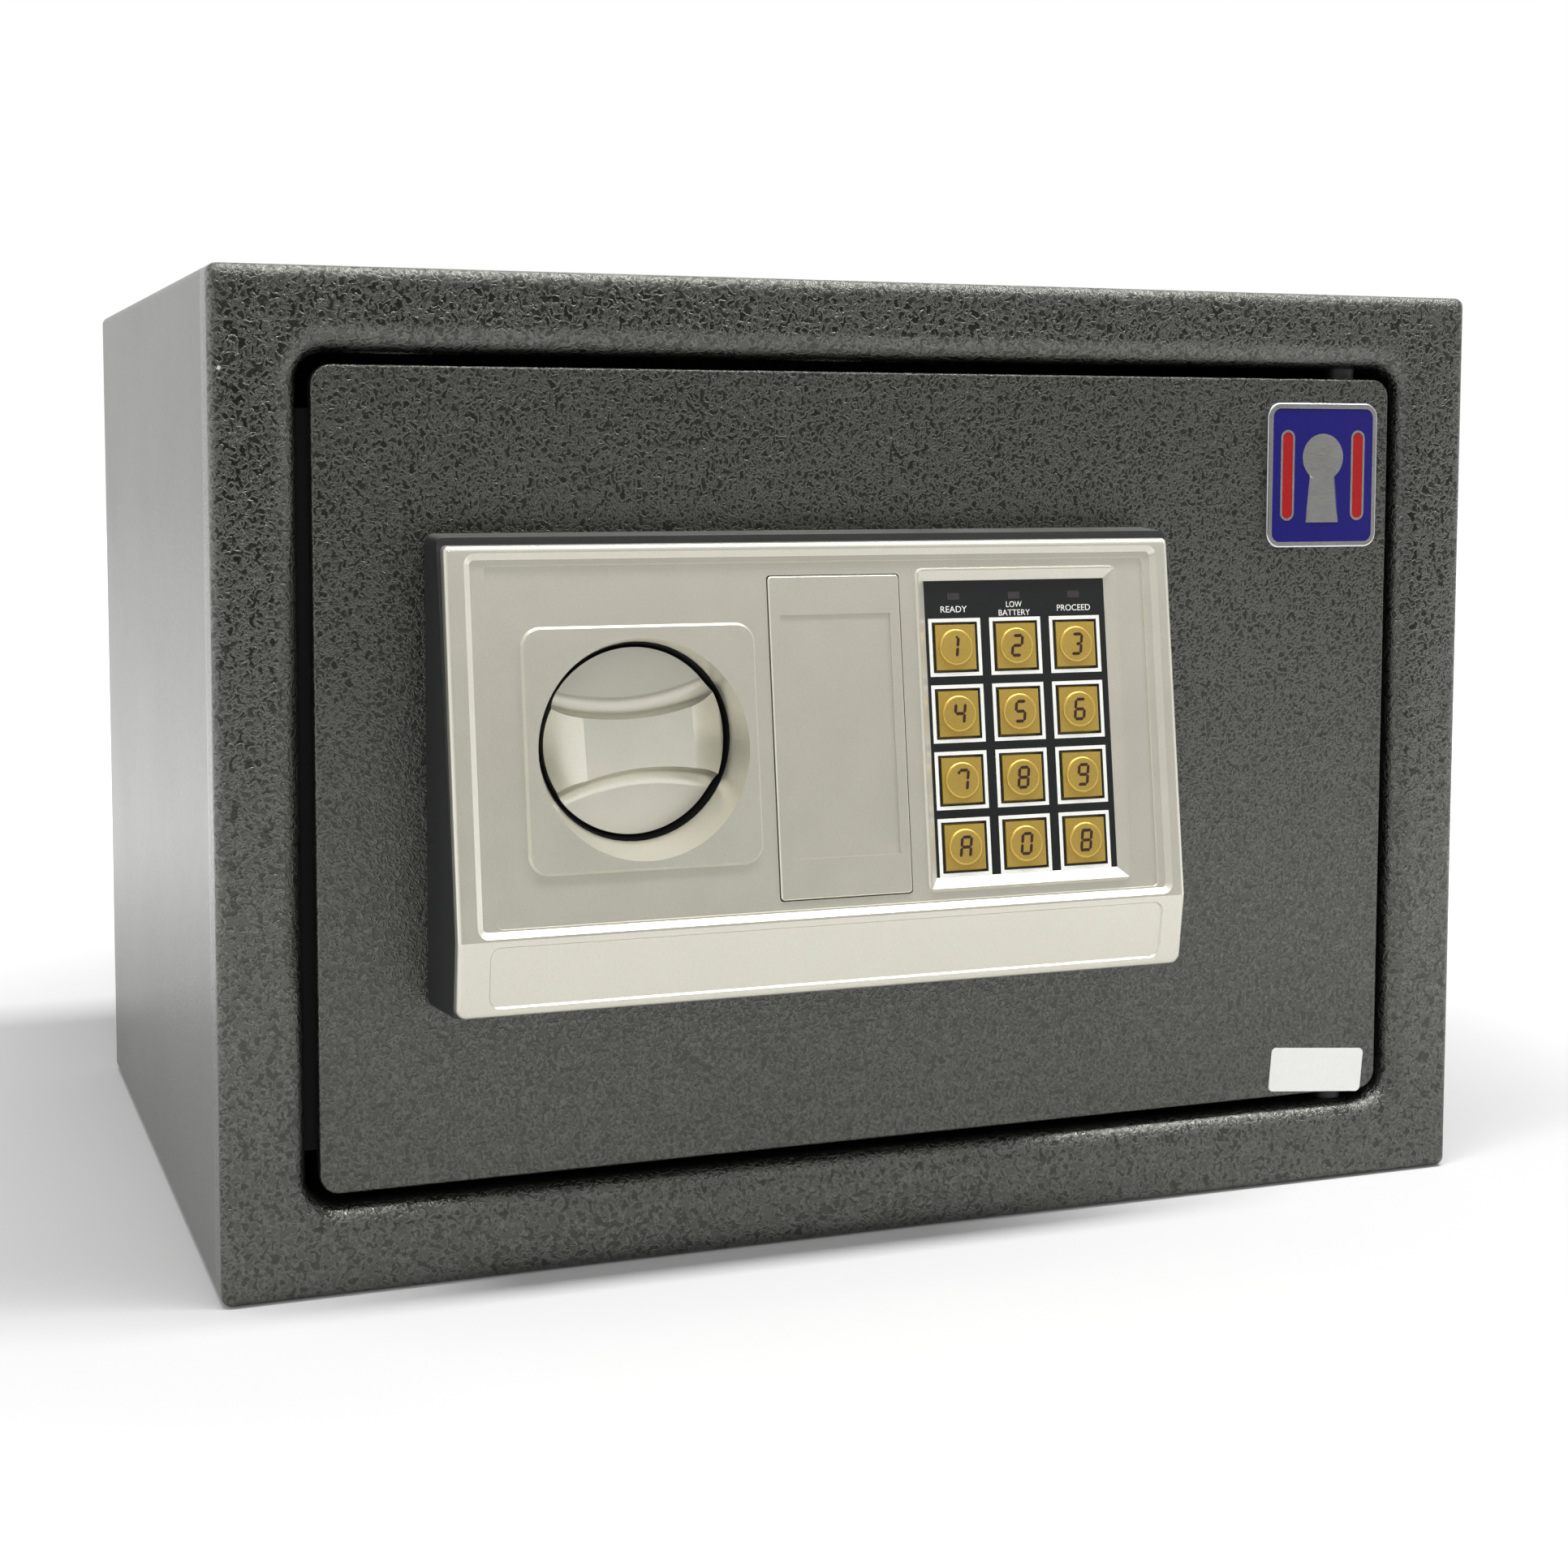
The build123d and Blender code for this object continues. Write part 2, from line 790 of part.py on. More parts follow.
# Knob: a disc with a waisted bar left standing between two scooped halves
tilt = math.radians(knob_tilt)
knob_plane = Plane(
    origin=(knob_x, knob_disc_front_y, knob_z),
    x_dir=(math.cos(tilt), 0, math.sin(tilt)),
    z_dir=(0, -1, 0),
)
knob_top_plane = Plane(
    origin=(knob_x, knob_disc_front_y, knob_z),
    x_dir=(math.cos(tilt), 0, math.sin(tilt)),
    z_dir=(math.sin(tilt), 0, -math.cos(tilt)),
)
flank_offset = knob_bar_half_waist + knob_bar_flank_radius
with BuildPart() as scoop:
    with BuildSketch(knob_plane):
        with Locations((0, flank_offset)):
            Circle(knob_bar_flank_radius)
    extrude(amount=2 * knob_bar_height)
    fillet(scoop.faces().sort_by(Axis.Y)[-1].edges(), knob_cove)
with BuildPart() as knob:
    with BuildSketch(knob_top_plane):
        with BuildLine():
            Polyline(
                (-knob_radius - cut_margin, -knob_disc_thickness),
                (knob_radius + cut_margin, -knob_disc_thickness),
                (knob_radius + cut_margin, knob_bar_end_height),
                (knob_bar_flat / 2, knob_bar_height),
                (-knob_bar_flat / 2, knob_bar_height),
                (-knob_radius - cut_margin, knob_bar_end_height),
                close=True,
            )
        make_face()
    extrude(amount=knob_radius + cut_margin, both=True)
    with BuildSketch(knob_plane.offset(-knob_disc_thickness)):
        Circle(knob_radius)
    extrude(amount=knob_disc_thickness + 2 * knob_bar_height, mode=Mode.INTERSECT)
    add(scoop.part, mode=Mode.SUBTRACT)
    add(scoop.part.rotate(Axis((knob_x, 0, knob_z), (0, 1, 0)), 180), mode=Mode.SUBTRACT)
    with BuildSketch(knob_plane.offset(-knob_disc_thickness)):
        Circle(shaft_radius)
    extrude(amount=knob_disc_thickness - knob_cap, mode=Mode.SUBTRACT)

# Knob shaft through the door plate
shaft_front_y = knob_disc_front_y + knob_cap
crank_front_y = door_back_y + crank_gap
crank_back_y = crank_front_y + crank_thickness
with BuildPart() as knob_shaft:
    with BuildSketch(Plane.XZ.offset(-shaft_front_y)):
        with Locations((knob_x, knob_z)):
            Circle(shaft_radius)
    extrude(amount=-(crank_back_y - shaft_front_y))

# Crank plate on the inner end of the shaft. At rest its pin stands up and to the right
crank_pin_x = knob_x + crank_throw * math.cos(math.radians(45))
crank_pin_z = knob_z + crank_throw * math.sin(math.radians(45))
with BuildPart() as crank_plate:
    with BuildSketch(Plane.XZ.offset(-crank_front_y)):
        with Locations((knob_x, knob_z)):
            Circle(crank_radius)
            Circle(shaft_radius, mode=Mode.SUBTRACT)
        with Locations((crank_pin_x, crank_pin_z)):
            Circle(crank_pin_radius, mode=Mode.SUBTRACT)
    extrude(amount=-crank_thickness)
carriage_front_y = crank_back_y + carriage_gap
carriage_back_y = carriage_front_y + carriage_thickness
with BuildPart() as crank_pin:
    with BuildSketch(Plane.XZ.offset(-crank_front_y)):
        with Locations((crank_pin_x, crank_pin_z)):
            Circle(crank_pin_radius)
    extrude(amount=-(carriage_back_y + carriage_gap - crank_front_y))

# Bolt carriage: a plate with a slot for the crank pin, two tabs for the bolts and a ramped arm
bolt_y = front_y + lip_depth + lip_to_bolt + bolt_radius
bolt_low_z = knob_z - bolt_spacing / 2
bolt_high_z = knob_z + bolt_spacing / 2
tab_half = bolt_radius + tab_margin
slot_low = crank_pin_z - crank_pin_radius - slot_gap
slot_high = knob_z + crank_throw + crank_pin_radius + slot_gap
arm_bottom = plunger_top + arm_gap
arm_end = plunger_x - plunger_radius + bolt_travel
with BuildPart() as bolt_carriage:
    with BuildSketch(Plane.XZ.offset(-carriage_front_y)):
        with Locations((carriage_left, bolt_low_z - tab_half)):
            Rectangle(
                carriage_right - carriage_left,
                bolt_spacing + 2 * tab_half,
                align=(Align.MIN, Align.MIN),
            )
        with Locations((carriage_left, slot_low - slot_margin)):
            Rectangle(
                carriage_tab_right - carriage_left,
                slot_high - slot_low + 2 * slot_margin,
                align=(Align.MIN, Align.MIN),
            )
        with BuildLine():
            Polyline(
                (carriage_left, arm_bottom),
                (arm_end - bolt_travel, arm_bottom),
                (arm_end, arm_bottom + plunger_travel),
                (arm_end, arm_bottom + arm_height),
                (carriage_left, arm_bottom + arm_height),
                close=True,
            )
        make_face()
        with Locations((crank_pin_x, (slot_low + slot_high) / 2)):
            Rectangle(
                2 * (crank_pin_radius + slot_gap), slot_high - slot_low, mode=Mode.SUBTRACT
            )
    extrude(amount=-carriage_thickness)
    for tab_z in (bolt_low_z, bolt_high_z):
        with Locations((carriage_right, carriage_front_y, tab_z)):
            Box(
                tab_thickness,
                bolt_y + bolt_radius - carriage_front_y,
                2 * tab_half,
                align=(Align.MAX, Align.MIN, Align.CENTER),
            )
        with Locations((carriage_right, bolt_y, tab_z)):
            Cylinder(bolt_screw_radius, 3 * tab_thickness, rotation=(0, 90, 0), mode=Mode.SUBTRACT)

# Locking bolts, screwed to the tabs
bolt_root_x = carriage_right - tab_thickness
with BuildPart() as locking_bolts:
    for bolt_z in (bolt_low_z, bolt_high_z):
        with Locations((bolt_root_x - bolt_length / 2, bolt_y, bolt_z)):
            Cylinder(bolt_radius, bolt_length, rotation=(0, 90, 0))
        with Locations((bolt_root_x, bolt_y, bolt_z)):
            Cylinder(
                bolt_screw_radius,
                2 * (bolt_screw_length - tab_thickness),
                rotation=(0, 90, 0),
                mode=Mode.SUBTRACT,
            )
    chamfer(locking_bolts.faces().group_by(Axis.X)[0].edges(), bolt_chamfer)
with BuildPart() as bolt_screws:
    for bolt_z in (bolt_low_z, bolt_high_z):
        with Locations((carriage_right, bolt_y, bolt_z)):
            Cylinder(
                bolt_screw_radius,
                bolt_screw_length,
                rotation=(0, 90, 0),
                align=(Align.CENTER, Align.CENTER, Align.MAX),
            )
            Cylinder(
                bolt_screw_head_radius,
                bolt_screw_head,
                rotation=(0, 90, 0),
                align=(Align.CENTER, Align.CENTER, Align.MIN),
            )

# Guide bracket that the bolts slide through
with BuildPart() as bolt_guide:
    with Locations((guide_left, door_back_y, knob_z)):
        Box(
            guide_thickness,
            bolt_y + bolt_radius + guide_margin - door_back_y,
            guide_height,
            align=(Align.MIN, Align.MIN, Align.CENTER),
        )
        Box(
            guide_foot,
            guide_foot_thickness,
            guide_height,
            align=(Align.MIN, Align.MIN, Align.CENTER),
        )
    for bolt_z in (bolt_low_z, bolt_high_z):
        with Locations((guide_left, bolt_y, bolt_z)):
            Cylinder(
                bolt_radius + running_gap, 4 * guide_thickness, rotation=(0, 90, 0), mode=Mode.SUBTRACT
            )

# Solenoid, its plunger and the spring under the collar
plunger_y = (carriage_front_y + carriage_back_y) / 2
with BuildPart() as solenoid:
    with Locations((plunger_x, door_back_y, solenoid_bottom)):
        Box(
            solenoid_width,
            2 * (plunger_y - door_back_y),
            solenoid_top - solenoid_bottom,
            align=(Align.CENTER, Align.MIN, Align.MIN),
        )
    with Locations((plunger_x, plunger_y, plunger_bottom - plunger_well)):
        Cylinder(
            plunger_radius + running_gap,
            solenoid_top,
            align=(Align.CENTER, Align.CENTER, Align.MIN),
            mode=Mode.SUBTRACT,
        )
with BuildPart() as plunger:
    with Locations((plunger_x, plunger_y, plunger_bottom)):
        Cylinder(
            plunger_radius,
            plunger_top - plunger_bottom,
            align=(Align.CENTER, Align.CENTER, Align.MIN),
        )
    chamfer(plunger.faces().sort_by(Axis.Z)[-1].edges(), plunger_chamfer)
    with Locations((plunger_x, plunger_y, collar_bottom)):
        Cylinder(
            collar_radius, collar_thickness, align=(Align.CENTER, Align.CENTER, Align.MIN)
        )
spring_height = collar_bottom - solenoid_top
with BuildPart() as plunger_spring:
    with BuildLine() as spring_path:
        Helix(
            pitch=(spring_height - 2 * spring_wire) / spring_turns,
            height=spring_height - 2 * spring_wire,
            radius=spring_radius,
            center=(plunger_x, plunger_y, solenoid_top + spring_wire),
        )
    with BuildSketch(Plane(origin=spring_path.line @ 0, z_dir=spring_path.line % 0)):
        Circle(spring_wire)
    sweep(is_frenet=True)

# Emergency lock: body, nut, plug and cam
lock_back_y = lock_front_y + lock_length
with BuildPart() as lock_body:
    with BuildSketch(Plane.XZ.offset(-lock_front_y)):
        with Locations((lock_x, lock_z)):
            Circle(lock_radius)
            Circle(plug_radius + running_gap, mode=Mode.SUBTRACT)
    extrude(amount=-lock_length)
with BuildPart() as lock_nut:
    with BuildSketch(door_back_plane):
        with Locations((lock_x, lock_z)):
            RegularPolygon(lock_nut_width / 2, 6, major_radius=False)
            Circle(lock_radius, mode=Mode.SUBTRACT)
    extrude(amount=-lock_nut_thickness)
with BuildPart() as lock_plug:
    with BuildSketch(Plane.XZ.offset(-lock_front_y + plug_proud)):
        with Locations((lock_x, lock_z)):
            Circle(plug_radius)
    extrude(amount=-(lock_length + plug_proud + cam_gap))
    with BuildSketch(Plane.XZ.offset(-lock_front_y + plug_proud)):
        with Locations((lock_x, lock_z)):
            Rectangle(keyway_height, keyway_width)
    extrude(amount=-keyway_depth, mode=Mode.SUBTRACT)
with BuildPart() as lock_cam:
    with BuildSketch(Plane.XZ.offset(-(lock_back_y + cam_gap))):
        with Locations((lock_x, lock_z)):
            Circle(cam_width / 2)
        with Locations((lock_x, lock_z)):
            Rectangle(cam_width, cam_length, align=(Align.CENTER, Align.MIN))
    extrude(amount=-cam_thickness)

# Black keypad face, held behind the fascia by its flange
key_columns = 3
key_rows = 4
key_mid_u = key_first_u + key_pitch_u
key_mid_v = key_first_v - 1.5 * key_pitch_v
window_mid_u = (window_left + window_right) / 2
window_mid_v = (window_bottom + window_top) / 2
window_width = window_right - window_left
window_height = window_top - window_bottom
flange_front = fascia_thickness + keypad_gap / 2
flange_back = flange_front + keypad_flange_thickness
keypad_plane = panel_plane.offset(-keypad_depth)
with BuildPart() as keypad_face:
    with BuildSketch(keypad_plane):
        with Locations((window_mid_u, window_mid_v)):
            Rectangle(window_width - 2 * keypad_gap, window_height - 2 * keypad_gap)
    extrude(amount=-(flange_front - keypad_depth))
    with BuildSketch(panel_plane.offset(-flange_front)):
        with Locations((window_mid_u, window_mid_v)):
            Rectangle(window_width + 2 * keypad_flange, window_height + 2 * keypad_flange)
    extrude(amount=-keypad_flange_thickness)
    with BuildSketch(keypad_plane):
        with Locations((key_mid_u, key_mid_v)):
            with GridLocations(key_pitch_u, key_pitch_v, key_columns, key_rows):
                Rectangle(key_width + 2 * key_gap, key_height + 2 * key_gap)
        with Locations((key_mid_u, lamp_v)):
            with GridLocations(key_pitch_u, 0, key_columns, 1):
                Rectangle(lamp_width, lamp_height)
    extrude(amount=-2 * fascia_thickness, mode=Mode.SUBTRACT)

# Status lamps, pushed into the face from behind
with BuildPart() as status_lamps:
    with BuildSketch(keypad_plane.offset(lamp_proud)):
        with Locations((key_mid_u, lamp_v)):
            with GridLocations(key_pitch_u, 0, key_columns, 1):
                Rectangle(lamp_width, lamp_height)
    extrude(amount=-lamp_length)

# Key mat and key board
with BuildPart() as key_mat:
    with BuildSketch(panel_plane.offset(-mat_depth)):
        with Locations((window_mid_u, window_mid_v)):
            Rectangle(window_width, window_height)
    extrude(amount=-mat_thickness)
with BuildPart() as key_board:
    with BuildSketch(panel_plane.offset(-mat_depth - mat_thickness)):
        with Locations((window_mid_u, window_mid_v)):
            Rectangle(window_width, window_height)
    extrude(amount=-board_thickness)

# Key caps, one moving piece each
key_names = ("1", "2", "3", "4", "5", "6", "7", "8", "9", "a", "0", "b")
key_caps = []
for index, key_name in enumerate(key_names):
    key_u = key_first_u + (index % key_columns) * key_pitch_u
    key_v = key_first_v - (index // key_columns) * key_pitch_v
    with BuildPart() as key_cap:
        with BuildSketch(keypad_plane.offset(key_proud)):
            with Locations((key_u, key_v)):
                Rectangle(key_width, key_height)
        extrude(amount=-key_body)
        with BuildSketch(keypad_plane.offset(key_proud)):
            with Locations((key_u, key_v)):
                Circle(key_dome_radius)
        extrude(amount=key_dome_height)
        fillet(key_cap.faces().sort_by(Axis.Y)[0].edges(), key_dome_round)
        with BuildSketch(keypad_plane.offset(key_proud - key_body)):
            with Locations((key_u, key_v)):
                Rectangle(key_width + 2 * key_skirt, key_height + 2 * key_skirt)
        extrude(amount=-key_skirt_thickness)
    key_cap.part.label = "key_" + key_name
    key_caps.append(key_cap)

# Inner cover: a sheet pan over the works, with holes for the bolts, the button and the batteries
pan_back_y = door_back_y + pan_depth
pan_mid_x = (pan_left + pan_right) / 2
pan_mid_z = (pan_bottom + pan_top) / 2
pan_width = pan_right - pan_left
pan_height = pan_top - pan_bottom
battery_width = cell_length + cell_cap + 2 * battery_play + 2 * battery_wall
battery_height = cell_rows * cell_pitch + battery_play + 2 * battery_wall
with BuildPart() as inner_cover:
    with BuildSketch(door_back_plane):
        with Locations((pan_mid_x, pan_mid_z)):
            RectangleRounded(pan_width, pan_height, pan_corner)
    extrude(amount=-pan_depth)
    with BuildSketch(door_back_plane):
        with Locations((pan_mid_x, pan_mid_z)):
            RectangleRounded(
                pan_width - 2 * pan_sheet, pan_height - 2 * pan_sheet, pan_corner - pan_sheet
            )
    extrude(amount=-(pan_depth - pan_sheet), mode=Mode.SUBTRACT)
    with BuildSketch(Plane.XZ.offset(-pan_back_y)):
        with Locations((battery_x, battery_z)):
            Rectangle(battery_width - 2 * battery_wall, battery_height - 2 * battery_wall)
        with Locations((button_x, button_z)):
            Circle(button_radius + running_gap)
        with Locations(
            (post_left, post_low), (post_left, post_high), (post_right, post_low), (post_right, post_high)
        ):
            Circle(screw_radius)
    extrude(amount=2 * pan_sheet, mode=Mode.SUBTRACT)
    for bolt_z in (bolt_low_z, bolt_high_z):
        with Locations((pan_left, bolt_y, bolt_z)):
            Cylinder(bolt_radius + 1, 4 * pan_sheet, rotation=(0, 90, 0), mode=Mode.SUBTRACT)

# Posts and screws that hold the inner cover
with BuildPart() as cover_posts:
    with BuildSketch(door_back_plane):
        with Locations(
            (post_left, post_low), (post_left, post_high), (post_right, post_low), (post_right, post_high)
        ):
            Circle(post_radius)
    extrude(amount=-(pan_depth - pan_sheet))
    with BuildSketch(Plane.XZ.offset(-(pan_back_y - pan_sheet))):
        with Locations(
            (post_left, post_low), (post_left, post_high), (post_right, post_low), (post_right, post_high)
        ):
            Circle(screw_radius)
    extrude(amount=cover_screw_length, mode=Mode.SUBTRACT)
with BuildPart() as cover_screws:
    with BuildSketch(Plane.XZ.offset(-pan_back_y)):
        with Locations(
            (post_left, post_low), (post_left, post_high), (post_right, post_low), (post_right, post_high)
        ):
            Circle(screw_radius)
    extrude(amount=cover_screw_length)
    with BuildSketch(Plane.XZ.offset(-pan_back_y)):
        with Locations(
            (post_left, post_low), (post_left, post_high), (post_right, post_low), (post_right, post_high)
        ):
            Circle(screw_head_radius)
    extrude(amount=-screw_head)
    fillet(cover_screws.faces().group_by(Axis.Y)[-1].edges(), screw_head / 2)

# Screws through the door plate into the bosses of the panel housing
with BuildPart() as panel_screws:
    with BuildSketch(door_back_plane):
        with Locations(
            (panel_screw_left, panel_screw_low),
            (panel_screw_left, panel_screw_high),
            (panel_screw_right, panel_screw_low),
            (panel_screw_right, panel_screw_high),
        ):
            Circle(screw_radius)
    extrude(amount=panel_screw_length)
    with BuildSketch(door_back_plane):
        with Locations(
            (panel_screw_left, panel_screw_low),
            (panel_screw_left, panel_screw_high),
            (panel_screw_right, panel_screw_low),
            (panel_screw_right, panel_screw_high),
        ):
            Circle(screw_head_radius)
    extrude(amount=-screw_head)

# Main board on four standoffs
main_y = door_back_y + main_gap
main_mid_x = (main_left + main_right) / 2
main_mid_z = (main_bottom + main_top) / 2
main_back_y = main_y + board_thickness
with BuildPart() as main_board:
    with BuildSketch(Plane.XZ.offset(-main_y)):
        with Locations((main_mid_x, main_mid_z)):
            Rectangle(main_right - main_left, main_top - main_bottom)
    extrude(amount=-board_thickness)
with BuildPart() as standoffs:
    with BuildSketch(door_back_plane):
        with Locations((main_mid_x, main_mid_z)):
            with GridLocations(
                main_right - main_left - 2 * standoff_inset,
                main_top - main_bottom - 2 * standoff_inset,
                2,
                2,
            ):
                Circle(standoff_radius)
    extrude(amount=-main_gap)

# Parts on the main board: controller, relay, two capacitors and the plug for the keypad lead
with BuildPart() as board_parts:
    with Locations((main_mid_x, main_back_y, main_mid_z)):
        Box(
            chip_width,
            chip_thickness,
            chip_height,
            align=(Align.CENTER, Align.MIN, Align.CENTER),
        )
    with Locations((main_mid_x + relay_offset_x, main_back_y, main_mid_z + relay_offset_z)):
        Box(
            relay_width,
            relay_thickness,
            relay_height,
            align=(Align.CENTER, Align.MIN, Align.CENTER),
        )
    for place in (0, 1):
        capacitor_x = main_mid_x + capacitor_offset_x + place * capacitor_step_x
        capacitor_z = main_mid_z + capacitor_offset_z + place * capacitor_step_z
        with Locations((capacitor_x, main_back_y, capacitor_z)):
            Cylinder(
                capacitor_radius,
                capacitor_length,
                rotation=(-90, 0, 0),
                align=(Align.CENTER, Align.CENTER, Align.MIN),
            )
    with Locations((lead_end_x, main_y, lead_z)):
        Box(
            plug_block,
            main_gap - plug_board_gap,
            plug_block,
            align=(Align.MIN, Align.MAX, Align.CENTER),
        )
with BuildPart() as buzzer:
    with Locations((buzzer_x, main_back_y, buzzer_z)):
        Cylinder(
            buzzer_radius,
            buzzer_height,
            rotation=(-90, 0, 0),
            align=(Align.CENTER, Align.CENTER, Align.MIN),
        )
        Cylinder(buzzer_hole_radius, 3 * buzzer_height, rotation=(-90, 0, 0), mode=Mode.SUBTRACT)

# Reset button and the switch it presses
switch_back_y = main_back_y + switch_height
with BuildPart() as reset_switch:
    with Locations((button_x, main_back_y, button_z)):
        Box(switch_size, switch_height, switch_size, align=(Align.CENTER, Align.MIN, Align.CENTER))
button_front_y = switch_back_y + button_travel + button_gap
with BuildPart() as reset_button:
    with BuildSketch(Plane.XZ.offset(-button_front_y)):
        with Locations((button_x, button_z)):
            Circle(button_radius)
    extrude(amount=-(pan_back_y + button_proud - button_front_y))
    fillet(reset_button.faces().sort_by(Axis.Y)[-1].edges(), button_round)

# Battery box, its cells and the sliding cover
cell_y = pan_back_y - pan_sheet - battery_play - cell_radius
battery_floor_y = cell_y - cell_radius - battery_play / 2 - battery_wall
with BuildPart() as battery_box:
    with BuildSketch(Plane.XZ.offset(-battery_floor_y)):
        with Locations((battery_x, battery_z)):
            Rectangle(battery_width, battery_height)
    extrude(amount=-(pan_back_y - pan_sheet - battery_floor_y))
    with BuildSketch(Plane.XZ.offset(-(battery_floor_y + battery_wall))):
        with Locations((battery_x, battery_z)):
            Rectangle(battery_width - 2 * battery_wall, battery_height - 2 * battery_wall)
    extrude(amount=-body_depth / 2, mode=Mode.SUBTRACT)
with BuildPart() as battery_cells:
    for row in range(cell_rows):
        cell_z = battery_z + (row - (cell_rows - 1) / 2) * cell_pitch
        cap_side = 1 if row % 2 else -1
        with Locations((battery_x - cap_side * cell_cap / 2, cell_y, cell_z)):
            Cylinder(cell_radius, cell_length, rotation=(0, 90, 0))
        with Locations((battery_x + cap_side * cell_length / 2, cell_y, cell_z)):
            Cylinder(cell_cap_radius, cell_cap, rotation=(0, 90, 0))
with BuildPart() as battery_cover:
    with BuildSketch(Plane.XZ.offset(-(pan_back_y + battery_cover_gap))):
        with Locations((battery_x, battery_z)):
            RectangleRounded(
                battery_width + 2 * battery_cover_overlap,
                battery_height + 2 * battery_cover_overlap,
                battery_cover_corner,
            )
    extrude(amount=-battery_cover_thickness)
    with BuildSketch(Plane.XZ.offset(-(pan_back_y + battery_cover_gap + battery_cover_thickness))):
        with Locations((battery_x, battery_z - battery_height / 4)):
            with GridLocations(0, grip_rib_pitch, 1, grip_rib_count):
                Rectangle(battery_width / 2, grip_rib_width)
    extrude(amount=-grip_rib_height)

# Lead from the keypad board, through the door plate, to the plug on the main board
board_back = mat_depth + mat_thickness + board_thickness
lead_start_y = panel_bend_y + (lead_z - panel_bend_z) * math.tan(panel_tilt)
lead_start_y = lead_start_y + board_back / math.cos(panel_tilt) + lead_board_gap
lead_bend_y = main_y - plug_block / 2
with BuildPart() as panel_lead:
    with BuildLine() as lead_path:
        FilletPolyline(
            (lead_x, lead_start_y, lead_z),
            (lead_x, lead_bend_y, lead_z),
            (lead_end_x, lead_bend_y, lead_z),
            radius=lead_bend_radius,
        )
    with BuildSketch(Plane(origin=lead_path.line @ 0, z_dir=lead_path.line % 0)):
        Circle(lead_radius)
    sweep()

# Badge: a rimmed plate with a coloured field sunk into it and a plain keyhole figure
with BuildPart() as badge_plate:
    with BuildSketch(door_plane):
        with Locations((badge_x, badge_z)):
            RectangleRounded(badge_width, badge_height, badge_corner)
    extrude(amount=badge_thickness)
    fillet(badge_plate.faces().sort_by(Axis.Y)[0].edges(), badge_round)
    with BuildSketch(door_plane.offset(badge_thickness)):
        with Locations((badge_x, badge_z)):
            RectangleRounded(
                badge_width - 2 * badge_rim, badge_height - 2 * badge_rim, badge_corner - badge_rim
            )
        with Locations((badge_x, badge_z + keyhole_rise)):
            Circle(keyhole_radius, mode=Mode.SUBTRACT)
        with BuildLine():
            Polyline(
                (badge_x - keyhole_neck, badge_z + keyhole_neck_rise),
                (badge_x + keyhole_neck, badge_z + keyhole_neck_rise),
                (badge_x + keyhole_foot, badge_z - keyhole_drop),
                (badge_x - keyhole_foot, badge_z - keyhole_drop),
                close=True,
            )
        make_face(mode=Mode.SUBTRACT)
    extrude(amount=-badge_sink, mode=Mode.SUBTRACT)

# Blank label
with BuildPart() as blank_label:
    with BuildSketch(door_plane):
        with Locations(Location((label_x, label_z, 0), (0, 0, label_turn))):
            RectangleRounded(label_width, label_height, label_corner)
    extrude(amount=label_thickness)

nodes = {
    "front_frame": front_frame,
    "body_shell": body_shell,
    "back_panel": back_panel,
    "stop_strip": stop_strip,
    "floor_mat": floor_mat,
    "hinge_washers": hinge_washers,
    "door_plate": door_plate,
    "hinge_blocks": hinge_blocks,
    "hinge_pins": hinge_pins,
    "panel_housing": panel_housing,
    "fascia": fascia,
    "lock_cover": lock_cover,
    "knob": knob,
    "knob_shaft": knob_shaft,
    "crank_plate": crank_plate,
    "crank_pin": crank_pin,
    "bolt_carriage": bolt_carriage,
    "locking_bolts": locking_bolts,
    "bolt_screws": bolt_screws,
    "bolt_guide": bolt_guide,
    "solenoid": solenoid,
    "plunger": plunger,
    "plunger_spring": plunger_spring,
    "lock_body": lock_body,
    "lock_nut": lock_nut,
    "lock_plug": lock_plug,
    "lock_cam": lock_cam,
    "keypad_face": keypad_face,
    "status_lamps": status_lamps,
    "key_mat": key_mat,
    "key_board": key_board,
    "inner_cover": inner_cover,
    "cover_posts": cover_posts,
    "cover_screws": cover_screws,
    "panel_screws": panel_screws,
    "main_board": main_board,
    "standoffs": standoffs,
    "board_parts": board_parts,
    "buzzer": buzzer,
    "reset_switch": reset_switch,
    "reset_button": reset_button,
    "battery_box": battery_box,
    "battery_cells": battery_cells,
    "battery_cover": battery_cover,
    "panel_lead": panel_lead,
    "badge_plate": badge_plate,
    "blank_label": blank_label,
}
for node_name, node in nodes.items():
    node.part.label = node_name
    export_step(node.part, f"parts/{node_name}.step")
for key_cap in key_caps:
    export_step(key_cap.part, f"parts/{key_cap.part.label}.step")
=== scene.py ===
# %% [markdown]
# A home safe with a keypad door
#
# The steel body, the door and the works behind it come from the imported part. This script gives
# every piece its finish, adds the printed marks, and sets the camera, the light and the floor.

# %% Load the part
import json
import math

import bmesh
import bpy
from mathutils import Matrix, Vector


